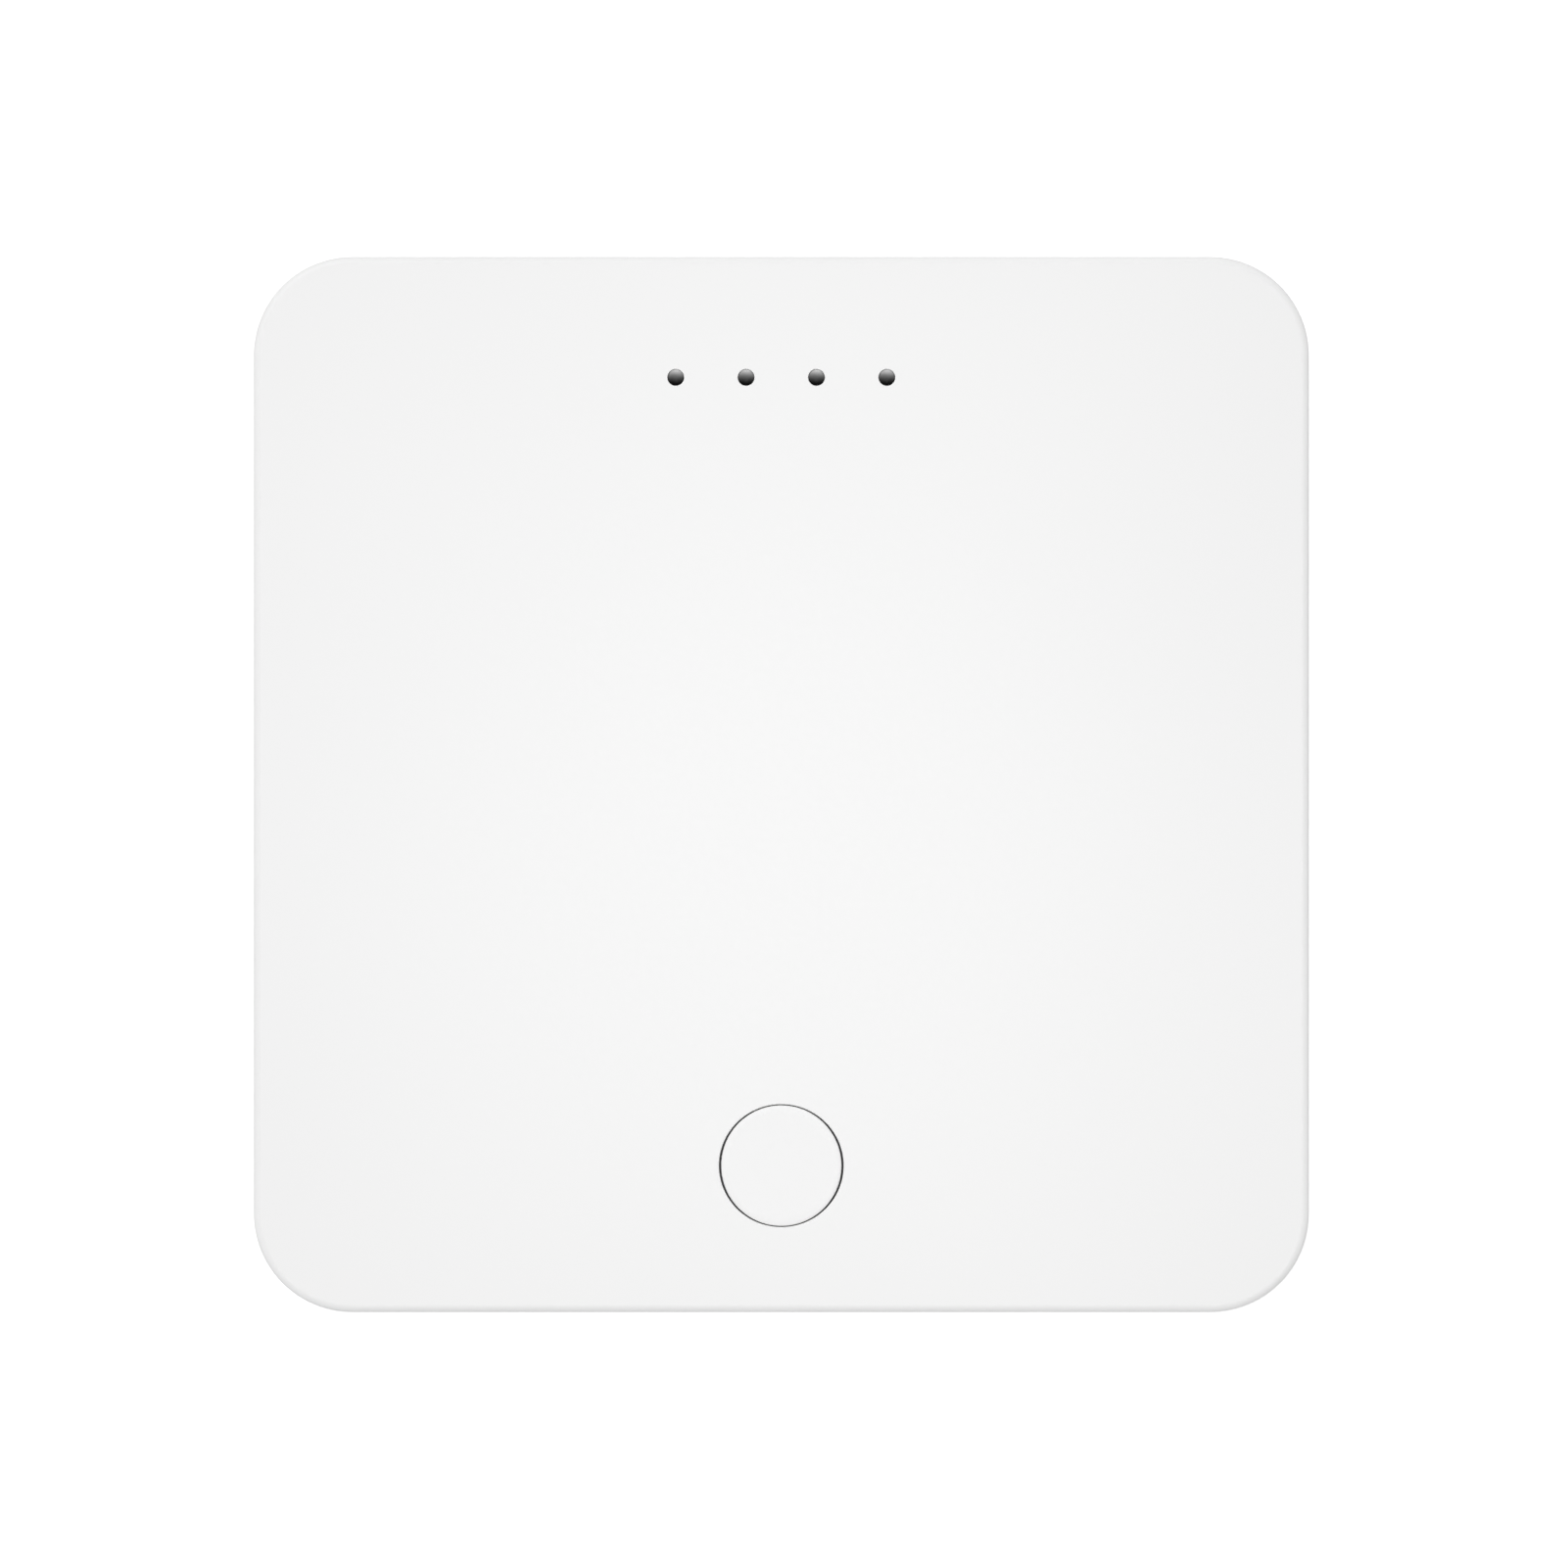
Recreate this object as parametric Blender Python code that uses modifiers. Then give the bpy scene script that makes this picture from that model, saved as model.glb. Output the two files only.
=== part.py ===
"""Smart home hub: a flat square gateway with a wired network socket, built as separate pieces.

Frame: metres, +Z up, +Y towards the rear wall with its sockets, +X to the right from the front.
The origin is the middle of the footprint, on the plane that the rubber feet stand on.
"""

import math

import bmesh
import bpy

# ---- Driving dimensions, in metres -------------------------------------------------------------
SIDE = 0.0900  # width and depth of the case
HEIGHT = 0.0230  # feet included
CORNER_RADIUS = 0.0084  # upright corners of the case, outside
WALL = 0.0020  # side walls
CEILING = 0.0018  # top panel
FLOOR = 0.0018  # bottom panel
FOOT_STAND = 0.0010  # how far the feet lift the case
SEAM_Z = 0.0082  # middle of the joint between the two covers
GAP = 0.0003  # between large pieces that meet
FIT = 0.0001  # between small pieces that meet
THROUGH = 0.0010  # how far a cutter runs past the face it cuts

TOP_EDGE_RADIUS = 0.0006
BASE_EDGE_RADIUS = 0.0018
EDGE_STEPS = 3
CORNER_STEPS = 10
ROUND_STEPS = 16

# ---- Case levels and offsets that follow from them ---------------------------------------------
HALF = SIDE / 2
CEILING_Z = HEIGHT - CEILING
FLOOR_Z = FOOT_STAND + FLOOR
COVER_BOTTOM_Z = SEAM_Z + GAP / 2
TRAY_TOP_Z = SEAM_Z - GAP / 2
LIP_THICKNESS = 0.00085
LIP_TOP_Z = TRAY_TOP_Z + 0.0018
IN_CEILING = CEILING_Z + CEILING / 3  # where what hangs from the top panel ends inside it
IN_FLOOR = FLOOR_Z - FLOOR / 3  # where what stands on the bottom panel ends inside it

# ---- Fastening ---------------------------------------------------------------------------------
POST_AT = 0.0365  # case screws, posts and feet, from the middle in X and in Y
BOSS_RADIUS = 0.0032
POST_RADIUS = 0.0033
BOSS_BORE = 0.00135
BOSS_BORE_TOP = 0.0155
POST_BORE = 0.00155
HEAD_BORE = 0.0028
HEAD_BORE_TOP = 0.0040

FOOT_RADIUS = 0.0050
FOOT_THICKNESS = 0.0016
FOOT_EDGE = 0.0003

CASE_SCREW = {"head_radius": 0.0024, "head": 0.0018, "shank_radius": 0.00125, "length": 0.0100}
BOARD_SCREW = {"head_radius": 0.0019, "head": 0.0013, "shank_radius": 0.00095, "length": 0.0040}

# ---- Circuit board -----------------------------------------------------------------------------
BOARD_SIDE = 0.0820
BOARD_NOTCH = 0.0082  # square notch in each corner, which clears the screw posts
BOARD_THICKNESS = 0.0016
BOARD_TOP = 0.0070
BOARD_BOTTOM = BOARD_TOP - BOARD_THICKNESS
BOARD_SCREW_AT = ((-0.033, -0.022), (0.033, -0.022), (-0.033, 0.014), (0.033, 0.014))
BOARD_HOLE = 0.00115
STANDOFF_RADIUS = 0.0026
STANDOFF_BORE = 0.00105
STANDOFF_BORE_BOTTOM = 0.0022
PARTS_Z = BOARD_TOP + FIT  # underside of everything soldered to the board

# ---- Button and switch -------------------------------------------------------------------------
BUTTON_AT = (0.0, -0.0325)
BUTTON_HOLE = 0.00535
BUTTON_RADIUS = 0.00510
BUTTON_EDGE = 0.0002
BUTTON_SKIN = 0.0014
BUTTON_SKIRT = 0.0009
BUTTON_STEPS = 40
COLLAR_RADIUS = 0.0069
COLLAR_BOTTOM = 0.0184
FLANGE_RADIUS = 0.0065
FLANGE_THICKNESS = 0.0010
STEM_RADIUS = 0.0016

SWITCH_SIDE = 0.0060
SWITCH_TOP = 0.0100
SWITCH_POCKET_Z = 0.0085
SWITCH_POCKET_RADIUS = 0.0025
DOME_RADIUS = 0.0023
DOME_RISE = 0.0005
DOME_SHEET = 0.0001
PLUNGER_TOP = 0.0120
PLUNGER_RADIUS = 0.00165
PLUNGER_FLANGE = 0.0005
SWITCH_FRAME_SHEET = 0.0003
SWITCH_FRAME_DROP = 0.0022

# ---- Indicator lights --------------------------------------------------------------------------
LIGHT_Y = 0.0347
LIGHT_PITCH = 0.0060
LIGHT_COUNT = 4
LIGHT_HOLE = 0.00071
LED_SIZE = (0.0020, 0.00125, 0.00075)
PIPE_TIP_Z = HEIGHT - 0.00005
PIPE_TIP_RADIUS = 0.00060
PIPE_TIP_DOME = 0.0004
PIPE_RADIUS = 0.00115
PIPE_FOOT_FLARE = 0.0004
HOLDER_SIZE = (0.0296, 0.0050)
HOLDER_BOTTOM = 0.0166
HOLDER_PIN_X = 0.0128
HOLDER_PIN_RADIUS = 0.0008
HOLDER_PIN_BOTTOM = 0.0160

# ---- Network socket ----------------------------------------------------------------------------
JACK_X = -0.0245
JACK_FRONT = HALF - 0.0002
JACK_HALF_WIDTH = 0.0080
JACK_TOP = PARTS_Z + 0.0130
JACK_BACK = JACK_FRONT - 0.0213
JACK_OPENING_MARGIN = 0.0003
SHEET = 0.0003  # pressed metal of both sockets
SHIELD_LIP = 0.0009
INSERT_MARGIN = 0.0002
PLUG_HALF_WIDTH = 0.00595
PLUG_FLOOR = 0.0108
PLUG_CEILING = 0.0177
PLUG_BACK = 0.0310
LATCH_HALF_WIDTH = 0.00315
LATCH_FLOOR = 0.0090
LATCH_SLOT_HALF_WIDTH = 0.0020
LATCH_SLOT_FLOOR = 0.0080
LATCH_BACK = PLUG_BACK + 0.0005
CONTACT_COUNT = 8
CONTACT_PITCH = 0.00102
CONTACT_RADIUS = 0.0002
CONTACT_ROOM_TOP = PLUG_CEILING + 0.0009
LAMP_X = 0.0054  # from the middle of the socket
LAMP_HALF_WIDTH = 0.0014
LAMP_LEVELS = (0.0083, 0.0100)
LAMP_DEPTH = 0.0029

# ---- Power socket ------------------------------------------------------------------------------
USB_X = 0.0245
USB_FRONT = HALF - 0.0002
USB_BACK = USB_FRONT - 0.0058
USB_HALF_WIDTH = 0.0038
USB_TOP = PARTS_Z + 0.0027
USB_KEY_INSET = 0.0010  # the lower corners are cut back by this much
USB_KEY_RISE = 0.0012
USB_OPENING_MARGIN = 0.0004

# ---- Underside ---------------------------------------------------------------------------------
LABEL_SIZE = (0.0400, 0.0240)
LABEL_CORNER = 0.0012
LABEL_THICKNESS = 0.00015
LABEL_RECESS = 0.0003
VENT_COUNT = 5
VENT_FIRST_Y = 0.0165
VENT_PITCH = 0.0030
VENT_SIZE = (0.0220, 0.0016)


# ---- Scene and materials -----------------------------------------------------------------------
def clear_scene():
    for obj in list(bpy.data.objects):
        bpy.data.objects.remove(obj, do_unlink=True)


def make_collection(name):
    collection = bpy.data.collections.new(name)
    bpy.context.scene.collection.children.link(collection)
    return collection


def make_material(name, colour, roughness, metallic=0.0):
    material = bpy.data.materials.new(name)
    material.use_nodes = True
    shader = material.node_tree.nodes["Principled BSDF"]
    shader.inputs["Base Color"].default_value = (*colour, 1.0)
    shader.inputs["Roughness"].default_value = roughness
    shader.inputs["Metallic"].default_value = metallic
    return material


clear_scene()
PARTS = make_collection("smart_home_hub")
CUTTERS = make_collection("cutters")

WHITE_PLASTIC = make_material("white_plastic", (0.87, 0.87, 0.87), 0.45)
BLACK_PLASTIC = make_material("black_plastic", (0.02, 0.02, 0.022), 0.5)
SMOKED_ACRYLIC = make_material("smoked_acrylic", (0.05, 0.05, 0.055), 0.15)
GREY_RUBBER = make_material("grey_rubber", (0.16, 0.16, 0.17), 0.85)
LABEL_FILM = make_material("label_film", (0.80, 0.81, 0.82), 0.35)
BOARD_GREEN = make_material("board_green", (0.02, 0.17, 0.07), 0.35)
CHIP_EPOXY = make_material("chip_epoxy", (0.03, 0.03, 0.033), 0.6)
STEEL = make_material("steel", (0.62, 0.62, 0.64), 0.3, 1.0)
TINNED_SHEET = make_material("tinned_sheet", (0.72, 0.72, 0.74), 0.28, 1.0)
GOLD = make_material("gold", (0.83, 0.62, 0.25), 0.25, 1.0)
LED_WHITE = make_material("led_white", (0.86, 0.84, 0.74), 0.4)
LAMP_GREEN = make_material("lamp_green", (0.25, 0.60, 0.25), 0.25)
LAMP_AMBER = make_material("lamp_amber", (0.80, 0.50, 0.12), 0.25)
ALUMINIUM_CAN = make_material("aluminium_can", (0.78, 0.79, 0.80), 0.3, 1.0)


# ---- Shapes ------------------------------------------------------------------------------------
def add_object(name, data, material, location=(0.0, 0.0, 0.0)):
    """Links a piece to the parts, or, with no material, to the cutters."""
    obj = bpy.data.objects.new(name, data)
    obj.location = location
    if material:
        PARTS.objects.link(obj)
        data.materials.append(material)
    else:
        CUTTERS.objects.link(obj)
        obj.hide_render = True
        obj.display_type = "WIRE"
    return obj


def mesh_from(bm, name):
    mesh = bpy.data.meshes.new(name)
    bm.to_mesh(mesh)
    bm.free()
    mesh.shade_smooth()
    mesh.set_sharp_from_angle(angle=math.radians(35))
    return mesh


def upright_edges(bm):
    return [e for e in bm.edges if abs(e.verts[0].co.z - e.verts[1].co.z) > 1e-7]


def rim_edges(bm, z):
    return [e for e in bm.edges if all(abs(v.co.z - z) < 1e-7 for v in e.verts)]


def round_off(bm, edges, radius, steps):
    bmesh.ops.bevel(bm, geom=edges, offset=radius, segments=steps, profile=0.5, affect="EDGES")


def block(name, material, size, levels, at=(0.0, 0.0), corner=0.0, steps=3, top=0.0, bottom=0.0):
    """A box of a width and a depth between two levels.

    corner rounds its upright edges in that many steps, and top and bottom round its rims.
    """
    low, high = levels
    bm = bmesh.new()
    bmesh.ops.create_cube(bm, size=1.0)
    bmesh.ops.scale(bm, vec=(*size, high - low), verts=bm.verts)
    if corner:
        round_off(bm, upright_edges(bm), corner, steps)
    if top:
        round_off(bm, rim_edges(bm, (high - low) / 2), top, EDGE_STEPS)
    if bottom:
        round_off(bm, rim_edges(bm, (low - high) / 2), bottom, EDGE_STEPS)
    return add_object(name, mesh_from(bm, name), material, (*at, (high + low) / 2))


def cylinder(name, material, radius, levels, at, steps=ROUND_STEPS):
    low, high = levels
    size = {"radius1": radius, "radius2": radius, "depth": high - low}
    bm = bmesh.new()
    bmesh.ops.create_cone(bm, cap_ends=True, segments=steps, **size)
    return add_object(name, mesh_from(bm, name), material, (*at, (high + low) / 2))


def turned(name, material, profile, at, steps=ROUND_STEPS):
    """A solid turned about Z from (radius, height) pairs that run down its outer side."""
    mesh = bpy.data.meshes.new(name)
    points = [(radius, 0.0, height) for radius, height in profile]
    mesh.from_pydata(points, [(i, i + 1) for i in range(len(points) - 1)], [])
    obj = add_object(name, mesh, material, at)
    screw = obj.modifiers.new("turn", "SCREW")
    screw.axis = "Z"
    screw.steps = steps
    screw.render_steps = steps
    screw.use_merge_vertices = True
    screw.merge_threshold = 0.00001
    return obj


def combine(target, others, operation):
    for other in others:
        modifier = target.modifiers.new(other.name, "BOOLEAN")
        modifier.operation = operation
        modifier.solver = "EXACT"
        modifier.object = other


def cut(target, *cutters):
    combine(target, cutters, "DIFFERENCE")


def join(target, *additions):
    combine(target, additions, "UNION")


def smooth_by_angle():
    """A node group that shades a mesh smooth except along edges sharper than 35 degrees."""
    tree = bpy.data.node_groups.new("smooth_by_angle", "GeometryNodeTree")
    tree.interface.new_socket("Mesh", in_out="INPUT", socket_type="NodeSocketGeometry")
    tree.interface.new_socket("Mesh", in_out="OUTPUT", socket_type="NodeSocketGeometry")
    source = tree.nodes.new("NodeGroupInput")
    result = tree.nodes.new("NodeGroupOutput")
    angle = tree.nodes.new("GeometryNodeInputMeshEdgeAngle")
    gentle = tree.nodes.new("ShaderNodeMath")
    gentle.operation = "LESS_THAN"
    gentle.inputs[1].default_value = math.radians(35)
    smooth = tree.nodes.new("GeometryNodeSetShadeSmooth")
    smooth.domain = "EDGE"
    tree.links.new(source.outputs[0], smooth.inputs["Geometry"])
    tree.links.new(angle.outputs["Unsigned Angle"], gentle.inputs[0])
    tree.links.new(gentle.outputs[0], smooth.inputs["Shade Smooth"])
    tree.links.new(smooth.outputs[0], result.inputs[0])
    return tree


def shade_cut_parts():
    group = smooth_by_angle()
    for obj in PARTS.objects:
        if any(modifier.type == "BOOLEAN" for modifier in obj.modifiers):
            obj.modifiers.new("smooth_by_angle", "NODES").node_group = group


# ---- Places ------------------------------------------------------------------------------------
def corners_at(distance):
    """The four corner places, front left first, then anticlockwise."""
    return [(x * distance, y * distance) for x, y in ((-1, -1), (1, -1), (1, 1), (-1, 1))]


def row(count, pitch):
    """Evenly spaced places either side of zero."""
    first = -pitch * (count - 1) / 2
    return [first + i * pitch for i in range(count)]


# ---- Case --------------------------------------------------------------------------------------
def case_slab(name, material, inset, levels, top=0.0, bottom=0.0):
    """A slab with the outline of the case, drawn in from its outer face by inset."""
    side = SIDE - 2 * inset
    corner = CORNER_RADIUS - inset
    return block(name, material, (side, side), levels, (0.0, 0.0), corner, CORNER_STEPS, top, bottom)


def socket_openings(prefix, lowest, highest):
    """Cutters through the rear wall for both sockets, within the levels given."""
    depth = WALL + 2 * THROUGH
    wall_y = HALF - WALL / 2
    jack_low = max(lowest, BOARD_TOP - FIT)
    jack_high = min(highest, JACK_TOP + JACK_OPENING_MARGIN)
    jack_size = (2 * (JACK_HALF_WIDTH + JACK_OPENING_MARGIN), depth)
    usb_low = max(lowest, PARTS_Z - USB_OPENING_MARGIN)
    usb_high = min(highest, USB_TOP + USB_OPENING_MARGIN)
    usb_size = (2 * (USB_HALF_WIDTH + USB_OPENING_MARGIN), depth)
    return (
        block(f"{prefix}_jack_opening", None, jack_size, (jack_low, jack_high), (JACK_X, wall_y)),
        block(f"{prefix}_usb_opening", None, usb_size, (usb_low, usb_high), (USB_X, wall_y)),
    )


def make_top_cover():
    levels = (COVER_BOTTOM_Z, HEIGHT)
    cover = case_slab("top_cover", WHITE_PLASTIC, 0.0, levels, top=TOP_EDGE_RADIUS)
    below = COVER_BOTTOM_Z - THROUGH
    above = HEIGHT + THROUGH
    rebate_inset = WALL - LIP_THICKNESS - GAP
    cut(
        cover,
        case_slab("cover_cavity", None, WALL, (below, CEILING_Z)),
        case_slab("cover_rebate", None, rebate_inset, (below, LIP_TOP_Z + GAP)),
    )
    for i, at in enumerate(corners_at(POST_AT)):
        boss_levels = (COVER_BOTTOM_Z, IN_CEILING)
        join(cover, cylinder(f"cover_boss_{i}", None, BOSS_RADIUS, boss_levels, at))
        cut(cover, cylinder(f"cover_bore_{i}", None, BOSS_BORE, (below, BOSS_BORE_TOP), at, 12))
    collar_levels = (COLLAR_BOTTOM, IN_CEILING)
    hole_levels = (COLLAR_BOTTOM - THROUGH, above)
    collar = cylinder("cover_collar", None, COLLAR_RADIUS, collar_levels, BUTTON_AT, 32)
    hole = cylinder("cover_button_hole", None, BUTTON_HOLE, hole_levels, BUTTON_AT, BUTTON_STEPS)
    join(cover, collar)
    cut(cover, hole)
    pin_levels = (HOLDER_PIN_BOTTOM, IN_CEILING)
    for side in (-1, 1):
        at = (side * HOLDER_PIN_X, LIGHT_Y)
        join(cover, cylinder(f"cover_pin_{side}", None, HOLDER_PIN_RADIUS, pin_levels, at, 10))
    light_levels = (CEILING_Z - THROUGH, above)
    for i, x in enumerate(row(LIGHT_COUNT, LIGHT_PITCH)):
        cut(cover, cylinder(f"cover_light_{i}", None, LIGHT_HOLE, light_levels, (x, LIGHT_Y)))
    cut(cover, *socket_openings("cover", below, above))


def make_bottom_cover():
    levels = (FOOT_STAND, TRAY_TOP_Z)
    tray = case_slab("bottom_cover", WHITE_PLASTIC, 0.0, levels, bottom=BASE_EDGE_RADIUS)
    below = FOOT_STAND - THROUGH
    above = LIP_TOP_Z + THROUGH
    join(tray, case_slab("tray_lip", None, WALL - LIP_THICKNESS, (FLOOR_Z, LIP_TOP_Z)))
    cut(tray, case_slab("tray_cavity", None, WALL, (FLOOR_Z, above)))
    add_posts(tray, below, above)
    add_standoffs(tray, above)
    add_vents(tray, below)
    room = [length + 2 * GAP for length in LABEL_SIZE]
    recess_levels = (below, FOOT_STAND + LABEL_RECESS)
    cut(tray, block("tray_label_recess", None, room, recess_levels, corner=LABEL_CORNER + GAP))
    cut(tray, *socket_openings("tray", 0.0, above))


def add_posts(tray, below, above):
    """A post in each corner, bored for its screw from below, with the foot's recess round it."""
    foot_recess = FOOT_RADIUS + GAP
    for i, at in enumerate(corners_at(POST_AT)):
        join(tray, cylinder(f"tray_post_{i}", None, POST_RADIUS, (IN_FLOOR, TRAY_TOP_Z), at))
        cut(
            tray,
            cylinder(f"tray_foot_{i}", None, foot_recess, (below, FOOT_THICKNESS + FIT), at, 24),
            cylinder(f"tray_head_bore_{i}", None, HEAD_BORE, (below, HEAD_BORE_TOP), at),
            cylinder(f"tray_bore_{i}", None, POST_BORE, (below, above), at, 12),
        )


def add_standoffs(tray, above):
    """The pillars that the board is screwed to, with blind bores."""
    levels = (IN_FLOOR, BOARD_BOTTOM - GAP)
    bore_levels = (STANDOFF_BORE_BOTTOM, above)
    for i, at in enumerate(BOARD_SCREW_AT):
        join(tray, cylinder(f"tray_standoff_{i}", None, STANDOFF_RADIUS, levels, at))
        cut(tray, cylinder(f"tray_standoff_bore_{i}", None, STANDOFF_BORE, bore_levels, at, 10))


def add_vents(tray, below):
    """A group of slots in front of the label, and one behind it."""
    levels = (below, FLOOR_Z + THROUGH)
    round_end = VENT_SIZE[1] * 0.49
    for side in (-1, 1):
        for i in range(VENT_COUNT):
            at = (0.0, side * (VENT_FIRST_Y + i * VENT_PITCH))
            cut(tray, block(f"tray_vent_{side}_{i}", None, VENT_SIZE, levels, at, round_end))


def make_label():
    top = FOOT_STAND + LABEL_RECESS - FIT / 2
    levels = (top - LABEL_THICKNESS, top)
    block("rating_label", LABEL_FILM, LABEL_SIZE, levels, corner=LABEL_CORNER)


def make_feet():
    profile = (
        (0.0, FOOT_THICKNESS),
        (FOOT_RADIUS, FOOT_THICKNESS),
        (FOOT_RADIUS, FOOT_EDGE),
        (FOOT_RADIUS - FOOT_EDGE, 0.0),
        (0.0, 0.0),
    )
    for i, at in enumerate(corners_at(POST_AT), start=1):
        turned(f"rubber_foot_{i}", GREY_RUBBER, profile, (*at, 0.0), 24)


# ---- Screws ------------------------------------------------------------------------------------
def screw(name, at, face_z, facing, head_radius, head, shank_radius, length):
    """A pan-head screw whose head faces up, or down where facing is -1."""
    shoulder = -head - length + shank_radius * 0.9
    profile = (
        (0.0, 0.0),
        (head_radius * 0.72, 0.0),
        (head_radius, -head * 0.45),
        (head_radius, -head),
        (shank_radius, -head),
        (shank_radius, shoulder),
        (0.0, -head - length),
    )
    obj = turned(name, STEEL, profile, (*at, face_z), 12)
    if facing < 0:
        obj.rotation_euler = (math.pi, 0.0, 0.0)
    reach = head_radius * 1.24
    width = reach * 0.18
    levels = sorted((face_z + facing * THROUGH, face_z - facing * head * 0.6))
    cut(
        obj,
        block(f"{name}_slot_x", None, (reach, width), levels, at),
        block(f"{name}_slot_y", None, (width, reach), levels, at),
    )


def make_case_screws():
    face_z = HEAD_BORE_TOP - FIT - CASE_SCREW["head"]
    for i, at in enumerate(corners_at(POST_AT), start=1):
        screw(f"case_screw_{i}", at, face_z, -1, **CASE_SCREW)


def make_board_screws():
    face_z = PARTS_Z + BOARD_SCREW["head"]
    for i, at in enumerate(BOARD_SCREW_AT, start=1):
        screw(f"board_screw_{i}", at, face_z, 1, **BOARD_SCREW)


# ---- Circuit board -----------------------------------------------------------------------------
def make_board():
    levels = (BOARD_BOTTOM, BOARD_TOP)
    board = block("main_board", BOARD_GREEN, (BOARD_SIDE, BOARD_SIDE), levels)
    cutter_levels = (BOARD_BOTTOM - THROUGH, BOARD_TOP + THROUGH)
    notch = (2 * BOARD_NOTCH, 2 * BOARD_NOTCH)
    for i, at in enumerate(corners_at(BOARD_SIDE / 2)):
        cut(board, block(f"board_notch_{i}", None, notch, cutter_levels, at, corner=0.0010))
    for i, at in enumerate(BOARD_SCREW_AT):
        cut(board, cylinder(f"board_hole_{i}", None, BOARD_HOLE, cutter_levels, at, 12))


def make_chips():
    """What is soldered flat on the board: name, material, width, depth, height, place, corner."""
    chips = (
        ("main_processor", CHIP_EPOXY, 0.0140, 0.0140, 0.0012, (0.0000, -0.0010), 0.0003),
        ("memory_chip", CHIP_EPOXY, 0.0102, 0.0222, 0.0011, (0.0200, -0.0010), 0.0002),
        ("flash_chip", CHIP_EPOXY, 0.0053, 0.0053, 0.0018, (0.0030, -0.0170), 0.0002),
        ("ethernet_transformer", CHIP_EPOXY, 0.0125, 0.0090, 0.0055, (-0.0235, 0.0150), 0.0004),
        ("power_inductor", CHIP_EPOXY, 0.0060, 0.0060, 0.0030, (0.0235, 0.0250), 0.0012),
        ("voltage_regulator", CHIP_EPOXY, 0.0065, 0.0035, 0.0017, (0.0345, 0.0240), 0.0002),
        ("clock_crystal", STEEL, 0.0105, 0.0042, 0.0034, (-0.0065, 0.0120), 0.0020),
    )
    for name, material, width, depth, height, at, corner in chips:
        block(name, material, (width, depth), (PARTS_Z, PARTS_Z + height), at, corner)


def make_capacitors():
    """Two aluminium cans, each joined to the base that is moulded round its foot."""
    can_levels = (PARTS_Z, PARTS_Z + 0.0058)
    base_levels = (PARTS_Z, PARTS_Z + 0.0010)
    base = (0.0066, 0.0066)
    for i, at in enumerate(((0.0140, 0.0270), (0.0140, 0.0190)), start=1):
        can = cylinder(f"bulk_capacitor_{i}", ALUMINIUM_CAN, 0.00315, can_levels, at, 20)
        join(can, block(f"capacitor_base_{i}", None, base, base_levels, at, 0.0008, 1))


def make_radio():
    """The wireless module: a small board, with a pressed can over the end away from its aerial."""
    at = (-0.0300, -0.0040)
    can_at = (at[0] + 0.0030, at[1])
    board_top = PARTS_Z + 0.0008
    low, high = board_top + FIT, board_top + FIT + 0.0020
    sheet = 0.0002
    size = (0.0126, 0.0136)
    inside = [length - 2 * sheet for length in size]
    block("radio_board", BOARD_GREEN, (0.0200, 0.0160), (PARTS_Z, board_top), at)
    can = block("radio_shield", TINNED_SHEET, size, (low, high), can_at, 0.0006, 2)
    cut(can, block("radio_shield_inside", None, inside, (low - THROUGH, high - sheet), can_at))


# ---- Indicator lights --------------------------------------------------------------------------
def make_lights():
    """The lamps on the board, their light pipes, and the bar that holds the pipes in line."""
    width, depth, height = LED_SIZE
    foot_z = PARTS_Z + height + GAP
    profile = (
        (0.0, PIPE_TIP_Z),
        (PIPE_TIP_RADIUS * 0.55, PIPE_TIP_Z - PIPE_TIP_DOME * 0.2),
        (PIPE_TIP_RADIUS, PIPE_TIP_Z - PIPE_TIP_DOME),
        (PIPE_TIP_RADIUS, CEILING_Z - 0.0002),
        (PIPE_RADIUS, CEILING_Z - 0.0006),
        (PIPE_RADIUS, foot_z + 0.0010),
        (PIPE_RADIUS + PIPE_FOOT_FLARE, foot_z),
        (0.0, foot_z),
    )
    holder_at = (0.0, LIGHT_Y)
    levels = (HOLDER_BOTTOM, CEILING_Z - FIT)
    cutter_levels = (HOLDER_BOTTOM - THROUGH, CEILING_Z + THROUGH)
    holder = block("light_pipe_holder", BLACK_PLASTIC, HOLDER_SIZE, levels, holder_at, 0.0010)
    for i, x in enumerate(row(LIGHT_COUNT, LIGHT_PITCH), start=1):
        at = (x, LIGHT_Y)
        block(f"status_led_{i}", LED_WHITE, (width, depth), (PARTS_Z, PARTS_Z + height), at)
        turned(f"light_pipe_{i}", SMOKED_ACRYLIC, profile, (*at, 0.0), 12)
        cut(holder, cylinder(f"holder_bore_{i}", None, PIPE_RADIUS + FIT, cutter_levels, at, 14))
    for side in (-1, 1):
        at = (side * HOLDER_PIN_X, LIGHT_Y)
        bore = HOLDER_PIN_RADIUS + FIT
        cut(holder, cylinder(f"holder_pin_bore_{side}", None, bore, cutter_levels, at, 12))


# ---- Button and switch -------------------------------------------------------------------------
def turned_from_top(name, material, profile, at, top, steps):
    """A turned piece whose own origin is on its axis at the top of its travel."""
    lowered = [(radius, height - top) for radius, height in profile]
    return turned(name, material, lowered, (*at, top), steps)


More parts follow.
